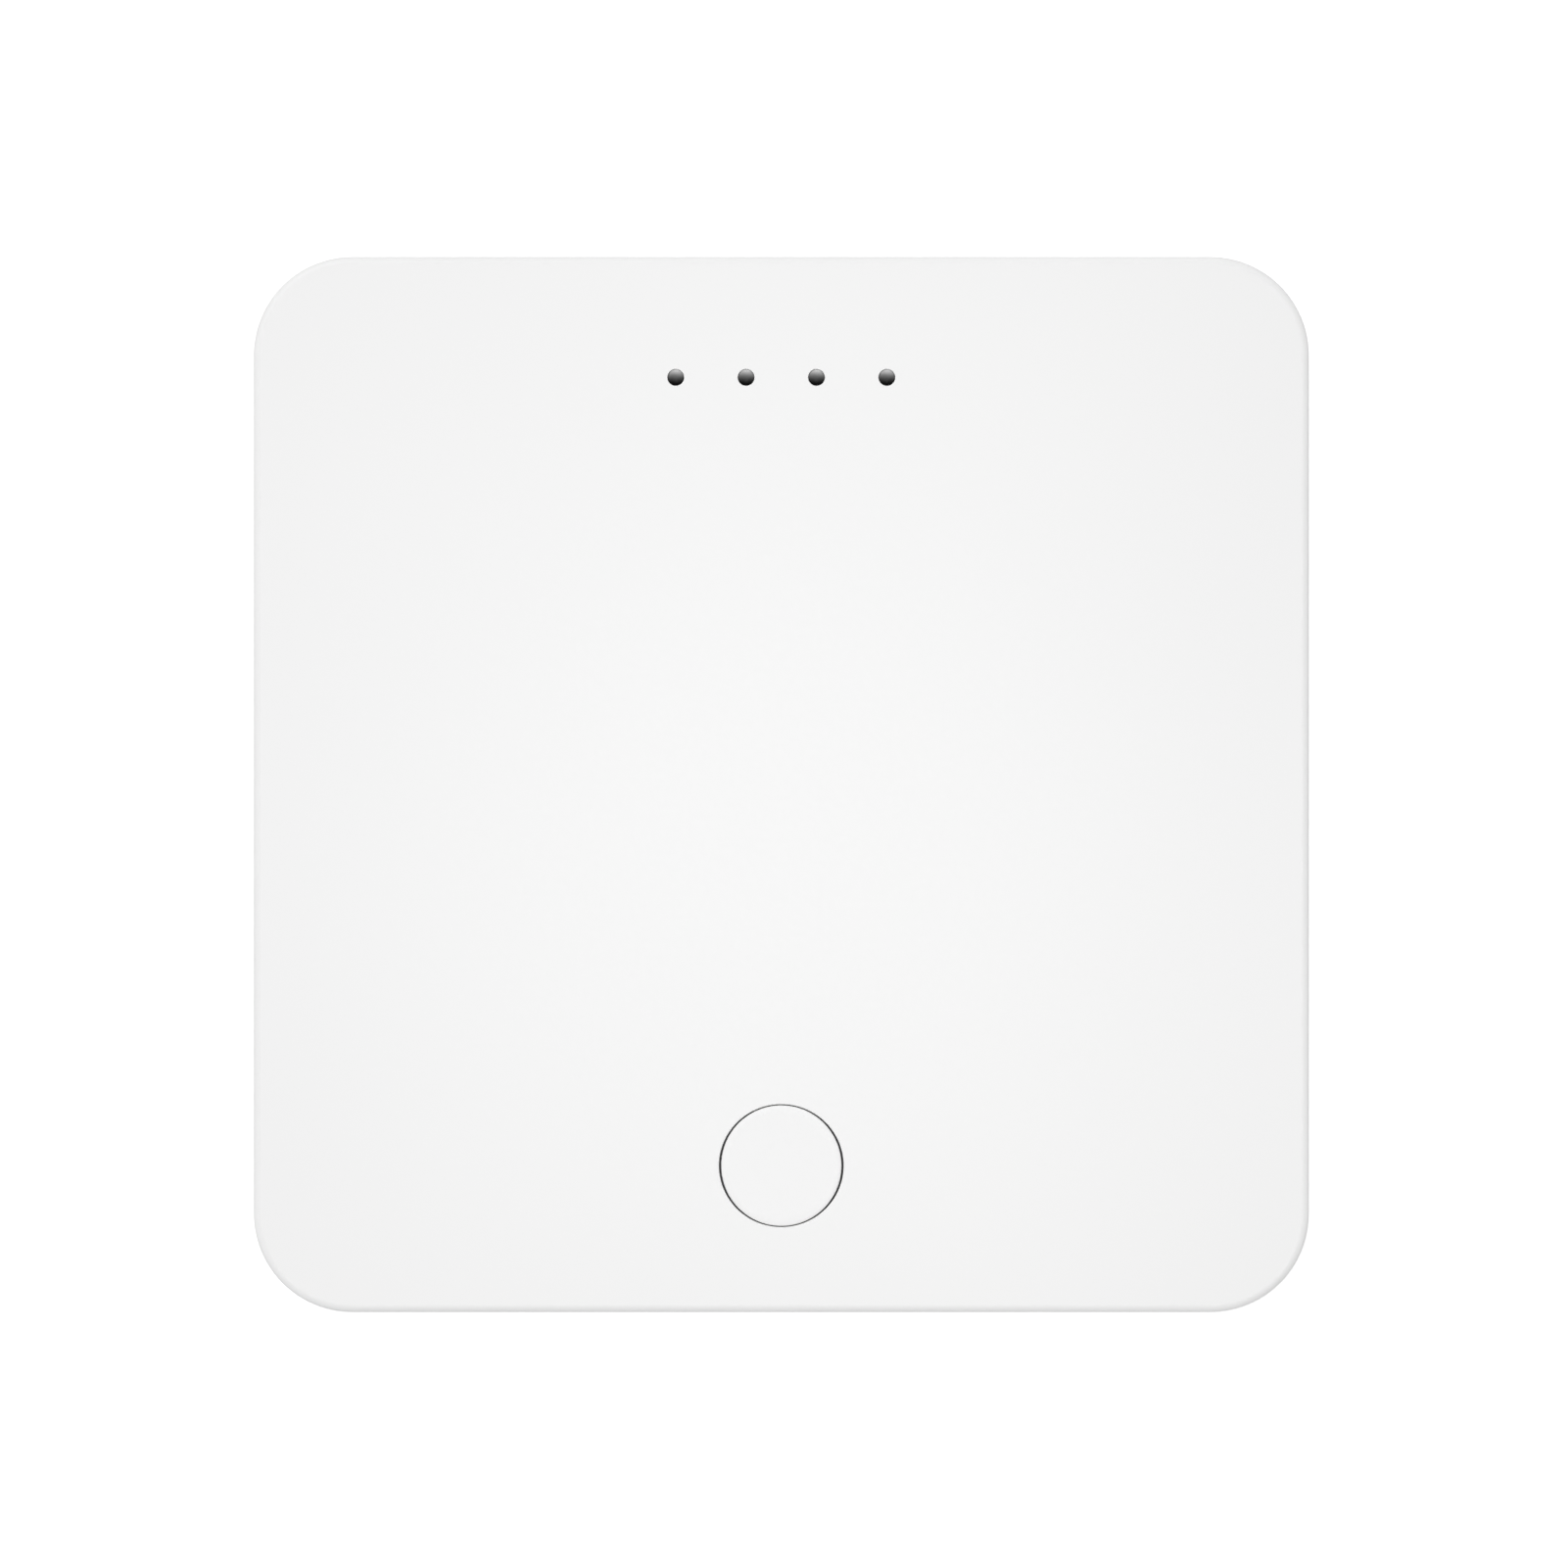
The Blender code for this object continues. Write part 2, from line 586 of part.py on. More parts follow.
def make_button():
    """A cap whose skirt ends in a flange under the guide collar, with a stem to the switch."""
    flange_top = COLLAR_BOTTOM - GAP
    flange_bottom = flange_top - FLANGE_THICKNESS
    skirt_inside = BUTTON_RADIUS - BUTTON_SKIRT
    underside = HEIGHT - BUTTON_SKIN
    stem_bottom = PLUNGER_TOP + FIT
    profile = (
        (0.0, HEIGHT),
        (BUTTON_RADIUS - BUTTON_EDGE, HEIGHT),
        (BUTTON_RADIUS, HEIGHT - BUTTON_EDGE),
        (BUTTON_RADIUS, flange_top),
        (FLANGE_RADIUS, flange_top),
        (FLANGE_RADIUS, flange_bottom),
        (skirt_inside, flange_bottom),
        (skirt_inside, underside),
        (STEM_RADIUS, underside),
        (STEM_RADIUS, stem_bottom),
        (0.0, stem_bottom),
    )
    turned_from_top("button_cap", WHITE_PLASTIC, profile, BUTTON_AT, HEIGHT, BUTTON_STEPS)


def make_switch_base():
    size = (SWITCH_SIDE, SWITCH_SIDE)
    levels = (PARTS_Z, SWITCH_TOP)
    pocket_levels = (SWITCH_POCKET_Z, SWITCH_TOP + THROUGH)
    base = block("switch_base", BLACK_PLASTIC, size, levels, BUTTON_AT, 0.0004, 1)
    cut(base, cylinder("switch_pocket", None, SWITCH_POCKET_RADIUS, pocket_levels, BUTTON_AT, 20))


def make_switch_dome():
    """The snap dome: a thin cap, thickened inwards, that stands on its rim in the pocket."""
    rim = SWITCH_POCKET_Z + FIT
    steps = 4
    outer = []
    inner = []
    for i in range(steps + 1):
        angle = math.pi / 2 * i / steps
        across, up = math.sin(angle), math.cos(angle)
        outer.append((DOME_RADIUS * across, rim + DOME_RISE * up))
        inner.append(((DOME_RADIUS - DOME_SHEET) * across, rim + (DOME_RISE - DOME_SHEET) * up))
    turned("switch_dome", STEEL, outer + inner[::-1], (*BUTTON_AT, 0.0), 20)


def make_switch_plunger():
    flange_low = SWITCH_POCKET_Z + DOME_RISE + 2 * FIT
    flange_high = flange_low + PLUNGER_FLANGE
    flange_radius = SWITCH_POCKET_RADIUS - GAP
    edge = 0.0002
    profile = (
        (0.0, PLUNGER_TOP),
        (PLUNGER_RADIUS - edge, PLUNGER_TOP),
        (PLUNGER_RADIUS, PLUNGER_TOP - edge),
        (PLUNGER_RADIUS, flange_high),
        (flange_radius, flange_high),
        (flange_radius, flange_low),
        (0.0, flange_low),
    )
    turned_from_top("switch_plunger", BLACK_PLASTIC, profile, BUTTON_AT, PLUNGER_TOP, 20)


def make_switch_frame():
    """The pressed frame that folds down over two sides of the base and keeps the plunger in."""
    inside = SWITCH_SIDE + 2 * FIT
    low = SWITCH_TOP - SWITCH_FRAME_DROP
    under = SWITCH_TOP + FIT
    high = under + SWITCH_FRAME_SHEET
    size = (inside + 2 * SWITCH_FRAME_SHEET, SWITCH_SIDE - GAP)
    inside_size = (inside, SWITCH_SIDE + THROUGH)
    hole_levels = (under - THROUGH, high + THROUGH)
    frame = block("switch_frame", TINNED_SHEET, size, (low, high), BUTTON_AT)
    cut(
        frame,
        block("switch_frame_inside", None, inside_size, (low - THROUGH, under), BUTTON_AT),
        cylinder("switch_frame_hole", None, PLUNGER_RADIUS + FIT, hole_levels, BUTTON_AT, 20),
    )


# ---- Network socket ----------------------------------------------------------------------------
def jack_box(name, material, half_width, depths, levels, x_offset=0.0):
    """A box of the network socket, between two depths and two levels."""
    back, front = depths
    at = (JACK_X + x_offset, (front + back) / 2)
    return block(name, material, (2 * half_width, front - back), levels, at)


def make_jack_shield():
    """The pressed can round the socket, open below and at its mouth."""
    low = PARTS_Z - THROUGH
    shield_levels = (PARTS_Z, JACK_TOP)
    depths = (JACK_BACK, JACK_FRONT)
    inside = (JACK_BACK + SHEET, JACK_FRONT - SHEET)
    window = (JACK_FRONT - SHEET - THROUGH, JACK_FRONT + THROUGH)
    window_half = JACK_HALF_WIDTH - SHIELD_LIP
    inside_half = JACK_HALF_WIDTH - SHEET
    shield = jack_box("ethernet_shield", TINNED_SHEET, JACK_HALF_WIDTH, depths, shield_levels)
    cut(
        shield,
        jack_box("shield_inside", None, inside_half, inside, (low, JACK_TOP - SHEET)),
        jack_box("shield_window", None, window_half, window, (low, JACK_TOP - SHIELD_LIP)),
    )


def make_jack_insert():
    """The moulding inside the shield: the plug's room, its latch's room and the lamps' pockets."""
    margin = SHEET + INSERT_MARGIN
    front = JACK_FRONT - SHEET - FIT
    mouth = front + THROUGH
    depths = (JACK_BACK + margin, front)
    levels = (PARTS_Z + FIT, JACK_TOP - margin)
    insert = jack_box("ethernet_insert", BLACK_PLASTIC, JACK_HALF_WIDTH - margin, depths, levels)
    plug = (PLUG_BACK, mouth)
    latch = (LATCH_BACK, mouth)
    contacts = (PLUG_BACK - 0.0005, 0.0409)
    contacts_half = CONTACT_PITCH * CONTACT_COUNT / 2 + INSERT_MARGIN
    latch_levels = (LATCH_FLOOR, PLUG_FLOOR + FIT)
    slot_levels = (LATCH_SLOT_FLOOR, LATCH_FLOOR + FIT)
    contact_levels = (PLUG_CEILING - FIT, CONTACT_ROOM_TOP)
    cut(
        insert,
        jack_box("plug_room", None, PLUG_HALF_WIDTH, plug, (PLUG_FLOOR, PLUG_CEILING)),
        jack_box("latch_room", None, LATCH_HALF_WIDTH, latch, latch_levels),
        jack_box("latch_slot", None, LATCH_SLOT_HALF_WIDTH, latch, slot_levels),
        jack_box("contact_room", None, contacts_half, contacts, contact_levels),
    )
    low, high = LAMP_LEVELS
    pocket_half = LAMP_HALF_WIDTH + FIT
    lamp_depths = (front - LAMP_DEPTH, front)
    pocket_depths = (front - LAMP_DEPTH - FIT, mouth)
    for side, name, colour in ((-1, "left", LAMP_GREEN), (1, "right", LAMP_AMBER)):
        x = side * LAMP_X
        pocket_levels = (low - FIT, high + FIT)
        cut(insert, jack_box(f"lamp_pocket_{name}", None, pocket_half, pocket_depths, pocket_levels, x))
        jack_box(f"ethernet_lamp_{name}", colour, LAMP_HALF_WIDTH, lamp_depths, LAMP_LEVELS, x)


def make_jack_contacts():
    """Spring wires that fold back at the mouth and slope down to meet a plug's contacts."""
    root_z = PLUG_CEILING + 0.0004
    route = (
        (0.0312, root_z),
        (0.0396, root_z),
        (0.0402, root_z - 0.0002),
        (0.0401, root_z - 0.0005),
        (0.0345, 0.0153),
    )
    for i, x in enumerate(row(CONTACT_COUNT, CONTACT_PITCH), start=1):
        curve = bpy.data.curves.new(f"ethernet_contact_{i}", "CURVE")
        curve.dimensions = "3D"
        curve.bevel_depth = CONTACT_RADIUS
        curve.bevel_resolution = 1
        curve.use_fill_caps = True
        spline = curve.splines.new("POLY")
        spline.points.add(len(route) - 1)
        for point, (y, z) in zip(spline.points, route):
            point.co = (0.0, y, z, 1.0)
        add_object(curve.name, curve, GOLD, (JACK_X + x, 0.0, 0.0))


# ---- Power socket ------------------------------------------------------------------------------
def make_usb_shell():
    """The pressed shell: an open tube of the keyed outline, thickened inwards."""
    half, key_half = USB_HALF_WIDTH, USB_HALF_WIDTH - USB_KEY_INSET
    low, high, key_z = PARTS_Z, USB_TOP, PARTS_Z + USB_KEY_RISE
    right_side = [(half, high), (half, key_z), (key_half, low)]
    outline = right_side + [(-x, z) for x, z in reversed(right_side)]
    bm = bmesh.new()
    loop = [bm.verts.new((x, USB_FRONT, z)) for x, z in outline]
    edges = [bm.edges.new((loop[i - 1], loop[i])) for i in range(len(loop))]
    swept = bmesh.ops.extrude_edge_only(bm, edges=edges)["geom"]
    back_loop = [part for part in swept if isinstance(part, bmesh.types.BMVert)]
    bmesh.ops.translate(bm, vec=(0.0, USB_BACK - USB_FRONT, 0.0), verts=back_loop)
    bmesh.ops.recalc_face_normals(bm, faces=bm.faces)
    shell = add_object("usb_shell", mesh_from(bm, "usb_shell"), TINNED_SHEET, (USB_X, 0.0, 0.0))
    sheet = shell.modifiers.new("sheet", "SOLIDIFY")
    sheet.thickness = SHEET
    sheet.offset = -1.0
    sheet.use_even_offset = True


def make_usb_tongue():
    """The moulded block at the back of the power socket, and its blade for the contacts."""
    block_front = USB_BACK + 0.0013
    blade_back, blade_front = block_front - 0.0003, USB_FRONT - 0.0009
    at = (USB_X, USB_BACK + 0.0007)
    blade_at = (USB_X, (blade_back + blade_front) / 2)
    levels = (PARTS_Z + 0.0005, USB_TOP - 0.0004)
    blade_levels = (USB_TOP - 0.0011, USB_TOP - 0.0005)
    tongue = block("usb_tongue", BLACK_PLASTIC, (0.0052, 0.0012), levels, at)
    join(tongue, block("usb_blade", None, (0.0037, blade_front - blade_back), blade_levels, blade_at))


def main():
    make_top_cover()
    make_bottom_cover()
    make_label()
    make_feet()
    make_case_screws()
    make_board()
    make_board_screws()
    make_chips()
    make_capacitors()
    make_radio()
    make_lights()
    make_button()
    make_switch_base()
    make_switch_dome()
    make_switch_plunger()
    make_switch_frame()
    make_jack_shield()
    make_jack_insert()
    make_jack_contacts()
    make_usb_shell()
    make_usb_tongue()
    shade_cut_parts()


main()
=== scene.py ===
"""Looks of the smart home hub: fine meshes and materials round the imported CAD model, in its frame.

Metres, +Z up, +Y towards the rear wall with the sockets. Places come from the CAD boxes.
"""

import math

import bmesh
import bpy
from mathutils import Matrix, Vector


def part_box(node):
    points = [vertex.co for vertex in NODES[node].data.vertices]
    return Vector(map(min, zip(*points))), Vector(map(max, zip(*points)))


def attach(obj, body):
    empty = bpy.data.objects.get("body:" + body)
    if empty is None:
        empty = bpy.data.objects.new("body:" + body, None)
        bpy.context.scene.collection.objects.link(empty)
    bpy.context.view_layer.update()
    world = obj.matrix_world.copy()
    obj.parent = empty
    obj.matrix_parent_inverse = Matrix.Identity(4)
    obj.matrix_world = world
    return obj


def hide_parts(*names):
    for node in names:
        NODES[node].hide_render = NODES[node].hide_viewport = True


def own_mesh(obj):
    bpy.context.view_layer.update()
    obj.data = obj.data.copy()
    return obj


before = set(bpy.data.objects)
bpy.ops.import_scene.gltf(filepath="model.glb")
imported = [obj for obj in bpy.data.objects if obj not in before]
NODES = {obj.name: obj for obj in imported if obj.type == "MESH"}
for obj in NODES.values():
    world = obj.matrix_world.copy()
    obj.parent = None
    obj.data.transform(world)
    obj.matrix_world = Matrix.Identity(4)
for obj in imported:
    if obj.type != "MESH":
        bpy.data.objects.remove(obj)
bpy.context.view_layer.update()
MM = 0.001

COVER_LOW, COVER_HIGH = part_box("top_cover")
TRAY_LOW, TRAY_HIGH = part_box("bottom_cover")
BUTTON_LOW, BUTTON_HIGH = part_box("button_cap")
SIDE = COVER_HIGH.x - COVER_LOW.x
HALF = SIDE / 2
TOP_Z = COVER_HIGH.z

# ---- Case, as in the CAD model -----------------------------------------------------------------
CORNER = 8.4 * MM
WALL = 2.0 * MM
CEILING_Z = TOP_Z - 1.8 * MM
FLOOR_Z = TRAY_LOW.z + 1.8 * MM
TRAY_TOP_Z = COVER_LOW.z - 0.3 * MM
LIP = 0.85 * MM
LIP_GAP = 0.3 * MM
POST_AT = 36.5 * MM
TOP_EDGE = 0.6 * MM
BASE_EDGE = 1.8 * MM
SEAM_EDGE = 0.12 * MM
INNER_EDGE = 0.5 * MM
OVERLAP = 0.6 * MM  # how far a boss or post reaches into the wall that it grows from
THROUGH = 1.0 * MM  # how far a cutter runs past a face
CORNER_STEPS = 24
FINE = 24  # steps to a quarter of a round hole or boss
SHARP = math.radians(32.0)  # edges above this angle stay sharp
BUTTON_AT = ((BUTTON_LOW.x + BUTTON_HIGH.x) / 2, (BUTTON_LOW.y + BUTTON_HIGH.y) / 2)

# The button's gap is wider at its sides than at its front and rear
HOLE_RADIUS = 5.31 * MM
HOLE_DEPTH_SHARE = 0.984
CAP_RADIUS = 5.13 * MM
CAP_DEPTH_SHARE = 1.004

LIGHT_RADIUS = 0.71 * MM


# ---- Outlines and solids -----------------------------------------------------------------------
def rectangle(width, depth):
    x, y = width / 2, depth / 2
    return ((x, -y), (x, y), (-x, y), (-x, -y))


def rounded(points, radius, inset=0.0, steps=8):
    """A convex outline, given anticlockwise, drawn in by inset and with its corners rounded."""
    smallest_bend = 0.002 * MM
    bend = max(radius - inset, smallest_bend)
    outline = []
    for i, point in enumerate(points):
        corner = Vector(point)
        before = Vector(points[i - 1]) - corner
        after = Vector(points[(i + 1) % len(points)]) - corner
        half = before.angle(after) / 2
        inward = (before.normalized() + after.normalized()).normalized()
        centre = corner + inward * ((inset + bend) / math.sin(half))
        start = math.atan2(before.x, -before.y)
        for k in range(steps + 1):
            angle = start + (math.pi - 2 * half) * k / steps
            outline.append((centre.x + bend * math.cos(angle), centre.y + bend * math.sin(angle)))
    return outline


def new_object(name, mesh, material=None, at=(0.0, 0.0, 0.0)):
    obj = bpy.data.objects.new(name, mesh)
    obj.location = at
    bpy.context.scene.collection.objects.link(obj)
    if material:
        mesh.materials.append(material)
    return obj


def mesh_from(bm, name):
    bmesh.ops.remove_doubles(bm, verts=bm.verts, dist=1e-7)
    bmesh.ops.recalc_face_normals(bm, faces=bm.faces)
    mesh = bpy.data.meshes.new(name)
    bm.to_mesh(mesh)
    bm.free()
    return mesh


def stack(name, material, points, radius, levels, at=(0.0, 0.0), steps=8, tube=False, rear=False):
    """A solid with one outline at each level, where a level is (inset, height).

    A tube's last level closes on its first. With rear, height runs along +Y, and at is (x, z).
    """
    bm = bmesh.new()
    rings = []
    for inset, height in levels:
        ring = rounded(points, radius, inset, steps)
        rings.append([bm.verts.new((x, y, height)) for x, y in ring])
    pairs = list(zip(rings, rings[1:]))
    if tube:
        pairs.append((rings[-1], rings[0]))
    else:
        bm.faces.new(rings[0][::-1])
        bm.faces.new(rings[-1])
    for low, high in pairs:
        for i in range(len(low)):
            bm.faces.new((low[i - 1], low[i], high[i], high[i - 1]))
    if rear:
        swap = Matrix(((1, 0, 0, 0), (0, 0, 1, 0), (0, 1, 0, 0), (0, 0, 0, 1)))
        bmesh.ops.transform(bm, matrix=swap, verts=bm.verts)
        return new_object(name, mesh_from(bm, name), material, (at[0], 0.0, at[1]))
    return new_object(name, mesh_from(bm, name), material, (*at, 0.0))


def box(name, material, size, levels, at=(0.0, 0.0), radius=0.002 * MM, **options):
    return stack(name, material, rectangle(*size), radius, levels, at, **options)


def discs(name, radius, levels, spots, steps=FINE):
    """Round operands for a Boolean, one at each spot, whose levels are (inset, height)."""
    outline = rectangle(2 * radius, 2 * radius)
    return [stack(name, None, outline, radius, levels, at, steps) for at in spots]


def straight(low, high):
    return [(0.0, low), (0.0, high)]


def quarter(steps):
    """The angles from zero to a right angle."""
    return [math.pi / 2 * i / steps for i in range(steps + 1)]


def arc(radius, steps):
    """Quarter-circle steps as (how far across, how far along), from (0, 0) to (radius, radius)."""
    return [(radius * math.sin(angle), radius * (1 - math.cos(angle))) for angle in quarter(steps)]


def soft(low, high, bottom=0.0, top=0.0, steps=6):
    """Levels with a rounded lower and upper edge."""
    start = [(bottom - across, low + along) for across, along in arc(bottom, steps)]
    end = [(top - across, high - along) for across, along in arc(top, steps)]
    return (start if bottom else [(0.0, low)]) + (end[::-1] if top else [(0.0, high)])


def flared(low, face, flare, steps=5):
    """Levels of a cutter that rounds the edge of the hole it cuts in the face above it."""
    widening = [(across - flare, face - along) for across, along in arc(flare, steps)]
    return [(0.0, low)] + widening[::-1] + [(-flare, face + THROUGH)]


def from_below(top, edge):
    """Levels of a cutter that enters the tray's underside and rounds the edge of its hole there."""
    upward = flared(2 * TRAY_LOW.z - top, TRAY_LOW.z, edge)
    return [(inset, 2 * TRAY_LOW.z - height) for inset, height in upward[::-1]]


def turned(name, material, profile, at, steps=4 * FINE):
    """A solid turned about Z. The profile is (radius, height) pairs that run down its outer side."""
    bm = bmesh.new()
    turns = [2 * math.pi * i / steps for i in range(steps)]
    rings = []
    for radius, height in profile:
        angles = turns if radius else turns[:1]
        ring = [(radius * math.cos(a), radius * math.sin(a), height) for a in angles]
        rings.append([bm.verts.new(point) for point in ring])
    for high, low in zip(rings, rings[1:]):
        for i in range(steps):
            if len(high) == 1:
                bm.faces.new((high[0], low[i - 1], low[i]))
            elif len(low) == 1:
                bm.faces.new((high[i - 1], low[0], high[i]))
            else:
                bm.faces.new((high[i - 1], low[i - 1], low[i], high[i]))
    return new_object(name, mesh_from(bm, name), material, at)


def combine(target, others, operation):
    """Applies one Boolean with several objects at once, and removes them."""
    group = bpy.data.collections.new("operands")
    for other in others:
        group.objects.link(other)
    modifier = target.modifiers.new("combine", "BOOLEAN")
    modifier.operation = operation
    modifier.solver = "EXACT"
    modifier.operand_type = "COLLECTION"
    modifier.collection = group
    mesh = evaluated_mesh(target)
    target.modifiers.clear()
    target.data = mesh
    for other in others:
        bpy.data.objects.remove(other, do_unlink=True)
    bpy.data.collections.remove(group)


def evaluated_mesh(obj):
    """A new mesh of what an object's curve or modifiers make."""
    bpy.context.view_layer.update()
    return bpy.data.meshes.new_from_object(obj.evaluated_get(bpy.context.evaluated_depsgraph_get()))


def shade(obj):
    """Smooth normals that keep flat faces flat, with sharp edges where faces meet at an angle."""
    obj.data.shade_smooth()
    obj.data.set_sharp_from_angle(angle=SHARP)
    normals = obj.modifiers.new("normals", "WEIGHTED_NORMAL")
    normals.keep_sharp = True


def show(obj, body, slot, *replaced):
    """Finishes a piece: it rides on a body and stands for CAD nodes. Its slot is not used."""
    shade(obj)
    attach(obj, body)
    if replaced:
        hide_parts(*replaced)


def corners_at(distance):
    return [(x * distance, y * distance) for x, y in ((-1, -1), (1, -1), (1, 1), (-1, 1))]


def row(count, pitch):
    """Evenly spaced offsets, centred on zero."""
    first = -pitch * (count - 1) / 2
    return [first + i * pitch for i in range(count)]


def places(name):
    """Where the four numbered nodes of this name stand, as (x, y)."""
    boxes = [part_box(f"{name}_{i}") for i in range(1, 5)]
    return [((low.x + high.x) / 2, (low.y + high.y) / 2) for low, high in boxes]


# ---- Materials ---------------------------------------------------------------------------------
class Recipe:
    """A Principled material and short ways to drive it from procedural textures."""

    def __init__(self, name, colour, roughness, metallic=0.0, **settings):
        self.material = bpy.data.materials.new(name)
        self.material.use_nodes = True
        self.nodes = self.material.node_tree.nodes
        self.links = self.material.node_tree.links
        self.shader = self.nodes["Principled BSDF"]
        self.place = self.nodes.new("ShaderNodeTexCoord").outputs["Object"]
        self.set("Base Color", (*colour, 1.0))
        self.set("Roughness", roughness)
        self.set("Metallic", metallic)
        for socket, value in settings.items():
            self.set(socket.replace("_", " "), value)

    def set(self, socket, value):
        self.shader.inputs[socket].default_value = value

    def noise(self, size, detail=2.0, stretch=(1.0, 1.0, 1.0)):
        """Soft noise whose features are about size metres across, and longer where stretch is small."""
        mapping = self.nodes.new("ShaderNodeMapping")
        mapping.inputs["Scale"].default_value = stretch
        self.links.new(self.place, mapping.inputs["Vector"])
        node = self.nodes.new("ShaderNodeTexNoise")
        node.inputs["Scale"].default_value = 1.0 / size
        node.inputs["Detail"].default_value = detail
        self.links.new(mapping.outputs["Vector"], node.inputs["Vector"])
        return node.outputs["Fac"]

    def cells(self, size):
        """Round cells of about this size."""
        node = self.nodes.new("ShaderNodeTexVoronoi")
        node.inputs["Scale"].default_value = 1.0 / size
        self.links.new(self.place, node.inputs["Vector"])
        return node.outputs["Distance"]

    def between(self, value, low, high, start=0.3, end=0.7):
        """Maps a value from start..end to low..high."""
        node = self.nodes.new("ShaderNodeMapRange")
        node.inputs["From Min"].default_value = start
        node.inputs["From Max"].default_value = end
        node.inputs["To Min"].default_value = low
        node.inputs["To Max"].default_value = high
        self.links.new(value, node.inputs["Value"])
        return node.outputs["Result"]

    def maths(self, operation, first, second=0.0):
        node = self.nodes.new("ShaderNodeMath")
        node.operation = operation
        for socket, value in zip(node.inputs, (first, second)):
            if isinstance(value, (int, float)):
                socket.default_value = value
            else:
                self.links.new(value, socket)
        return node.outputs[0]

    def blend(self, factor, first, second):
        node = self.nodes.new("ShaderNodeMix")
        node.data_type = "RGBA"
        self.links.new(factor, node.inputs["Factor"])
        for socket, colour in zip((node.inputs[6], node.inputs[7]), (first, second)):
            if isinstance(colour, tuple):
                socket.default_value = (*colour, 1.0)
            else:
                self.links.new(colour, socket)
        return node.outputs[2]

    def axis(self, name):
        node = self.nodes.new("ShaderNodeSeparateXYZ")
        self.links.new(self.place, node.inputs[0])
        return node.outputs[name]

    def colour(self, socket):
        self.links.new(socket, self.shader.inputs["Base Color"])

    def rough(self, value, low, high):
        self.links.new(self.between(value, low, high), self.shader.inputs["Roughness"])

    def bump(self, height, strength, depth):
        node = self.nodes.new("ShaderNodeBump")
        node.inputs["Strength"].default_value = strength
        node.inputs["Distance"].default_value = depth
        self.links.new(height, node.inputs["Height"])
        self.links.new(node.outputs["Normal"], self.shader.inputs["Normal"])


def white_plastic():
    """Satin white moulding: almost even colour, with a spark-eroded grain too fine to see far off."""
    recipe = Recipe("white_moulding", (0.83, 0.83, 0.83), 0.36, Specular_IOR_Level=0.32)
    drift = recipe.between(recipe.noise(60 * MM, 1.0), 0.0, 1.0)
    recipe.colour(recipe.blend(drift, (0.828, 0.828, 0.828), (0.842, 0.842, 0.841)))
    recipe.rough(recipe.noise(0.5 * MM, 2.0), 0.34, 0.38)
    recipe.bump(recipe.noise(0.16 * MM, 2.0), 0.10, 0.008 * MM)
    return recipe.material


def black_plastic(name, level):
    """Black moulding, cloudy and finely grained, whose colour lies about this level."""
    recipe = Recipe(name, (level, level, level * 1.05), 0.45)
    darker = (level * 0.8, level * 0.8, level * 0.85)
    lighter = (level * 1.35, level * 1.35, level * 1.4)
    recipe.colour(recipe.blend(recipe.noise(2 * MM, 4.0), darker, lighter))
    recipe.rough(recipe.noise(0.8 * MM, 3.0), 0.36, 0.56)
    recipe.bump(recipe.noise(0.12 * MM, 2.0), 0.25, 0.01 * MM)
    return recipe.material


def smoked_acrylic():
    """A light pipe's tip with painted light and shade: clear grey towards the rear, where its dome faces
    the light, and painted shade to black towards the front.
    """
    recipe = Recipe("smoked_acrylic", (0.05, 0.05, 0.05), 0.30, Specular_IOR_Level=0.045)
    steepness = 3.2
    # Painted light and shade: the colour runs from black at the front of the tip to light grey at its rear,
    # with a little random cloud
    across = recipe.between(recipe.axis("Y"), 0.0, 1.0, -LIGHT_RADIUS, LIGHT_RADIUS)
    cloud = recipe.between(recipe.noise(0.5 * MM, 2.0), -0.02, 0.02)
    cloudy = recipe.maths("MAXIMUM", recipe.maths("ADD", across, cloud), 0.0)
    painted_shade = recipe.maths("POWER", cloudy, steepness)
    recipe.colour(recipe.blend(painted_shade, (0.0015, 0.0015, 0.0015), (0.80, 0.80, 0.80)))
    recipe.bump(recipe.noise(0.2 * MM, 1.0), 0.02, 0.005 * MM)
    return recipe.material


def rubber():
    recipe = Recipe("grey_rubber", (0.05, 0.05, 0.052), 0.85, Specular_IOR_Level=0.3)
    dust = recipe.noise(1.5 * MM, 5.0)
    recipe.colour(recipe.blend(dust, (0.040, 0.040, 0.043), (0.075, 0.075, 0.078)))
    recipe.rough(recipe.noise(0.6 * MM, 4.0), 0.74, 0.94)
    recipe.bump(recipe.cells(0.22 * MM), 0.35, 0.02 * MM)
    return recipe.material


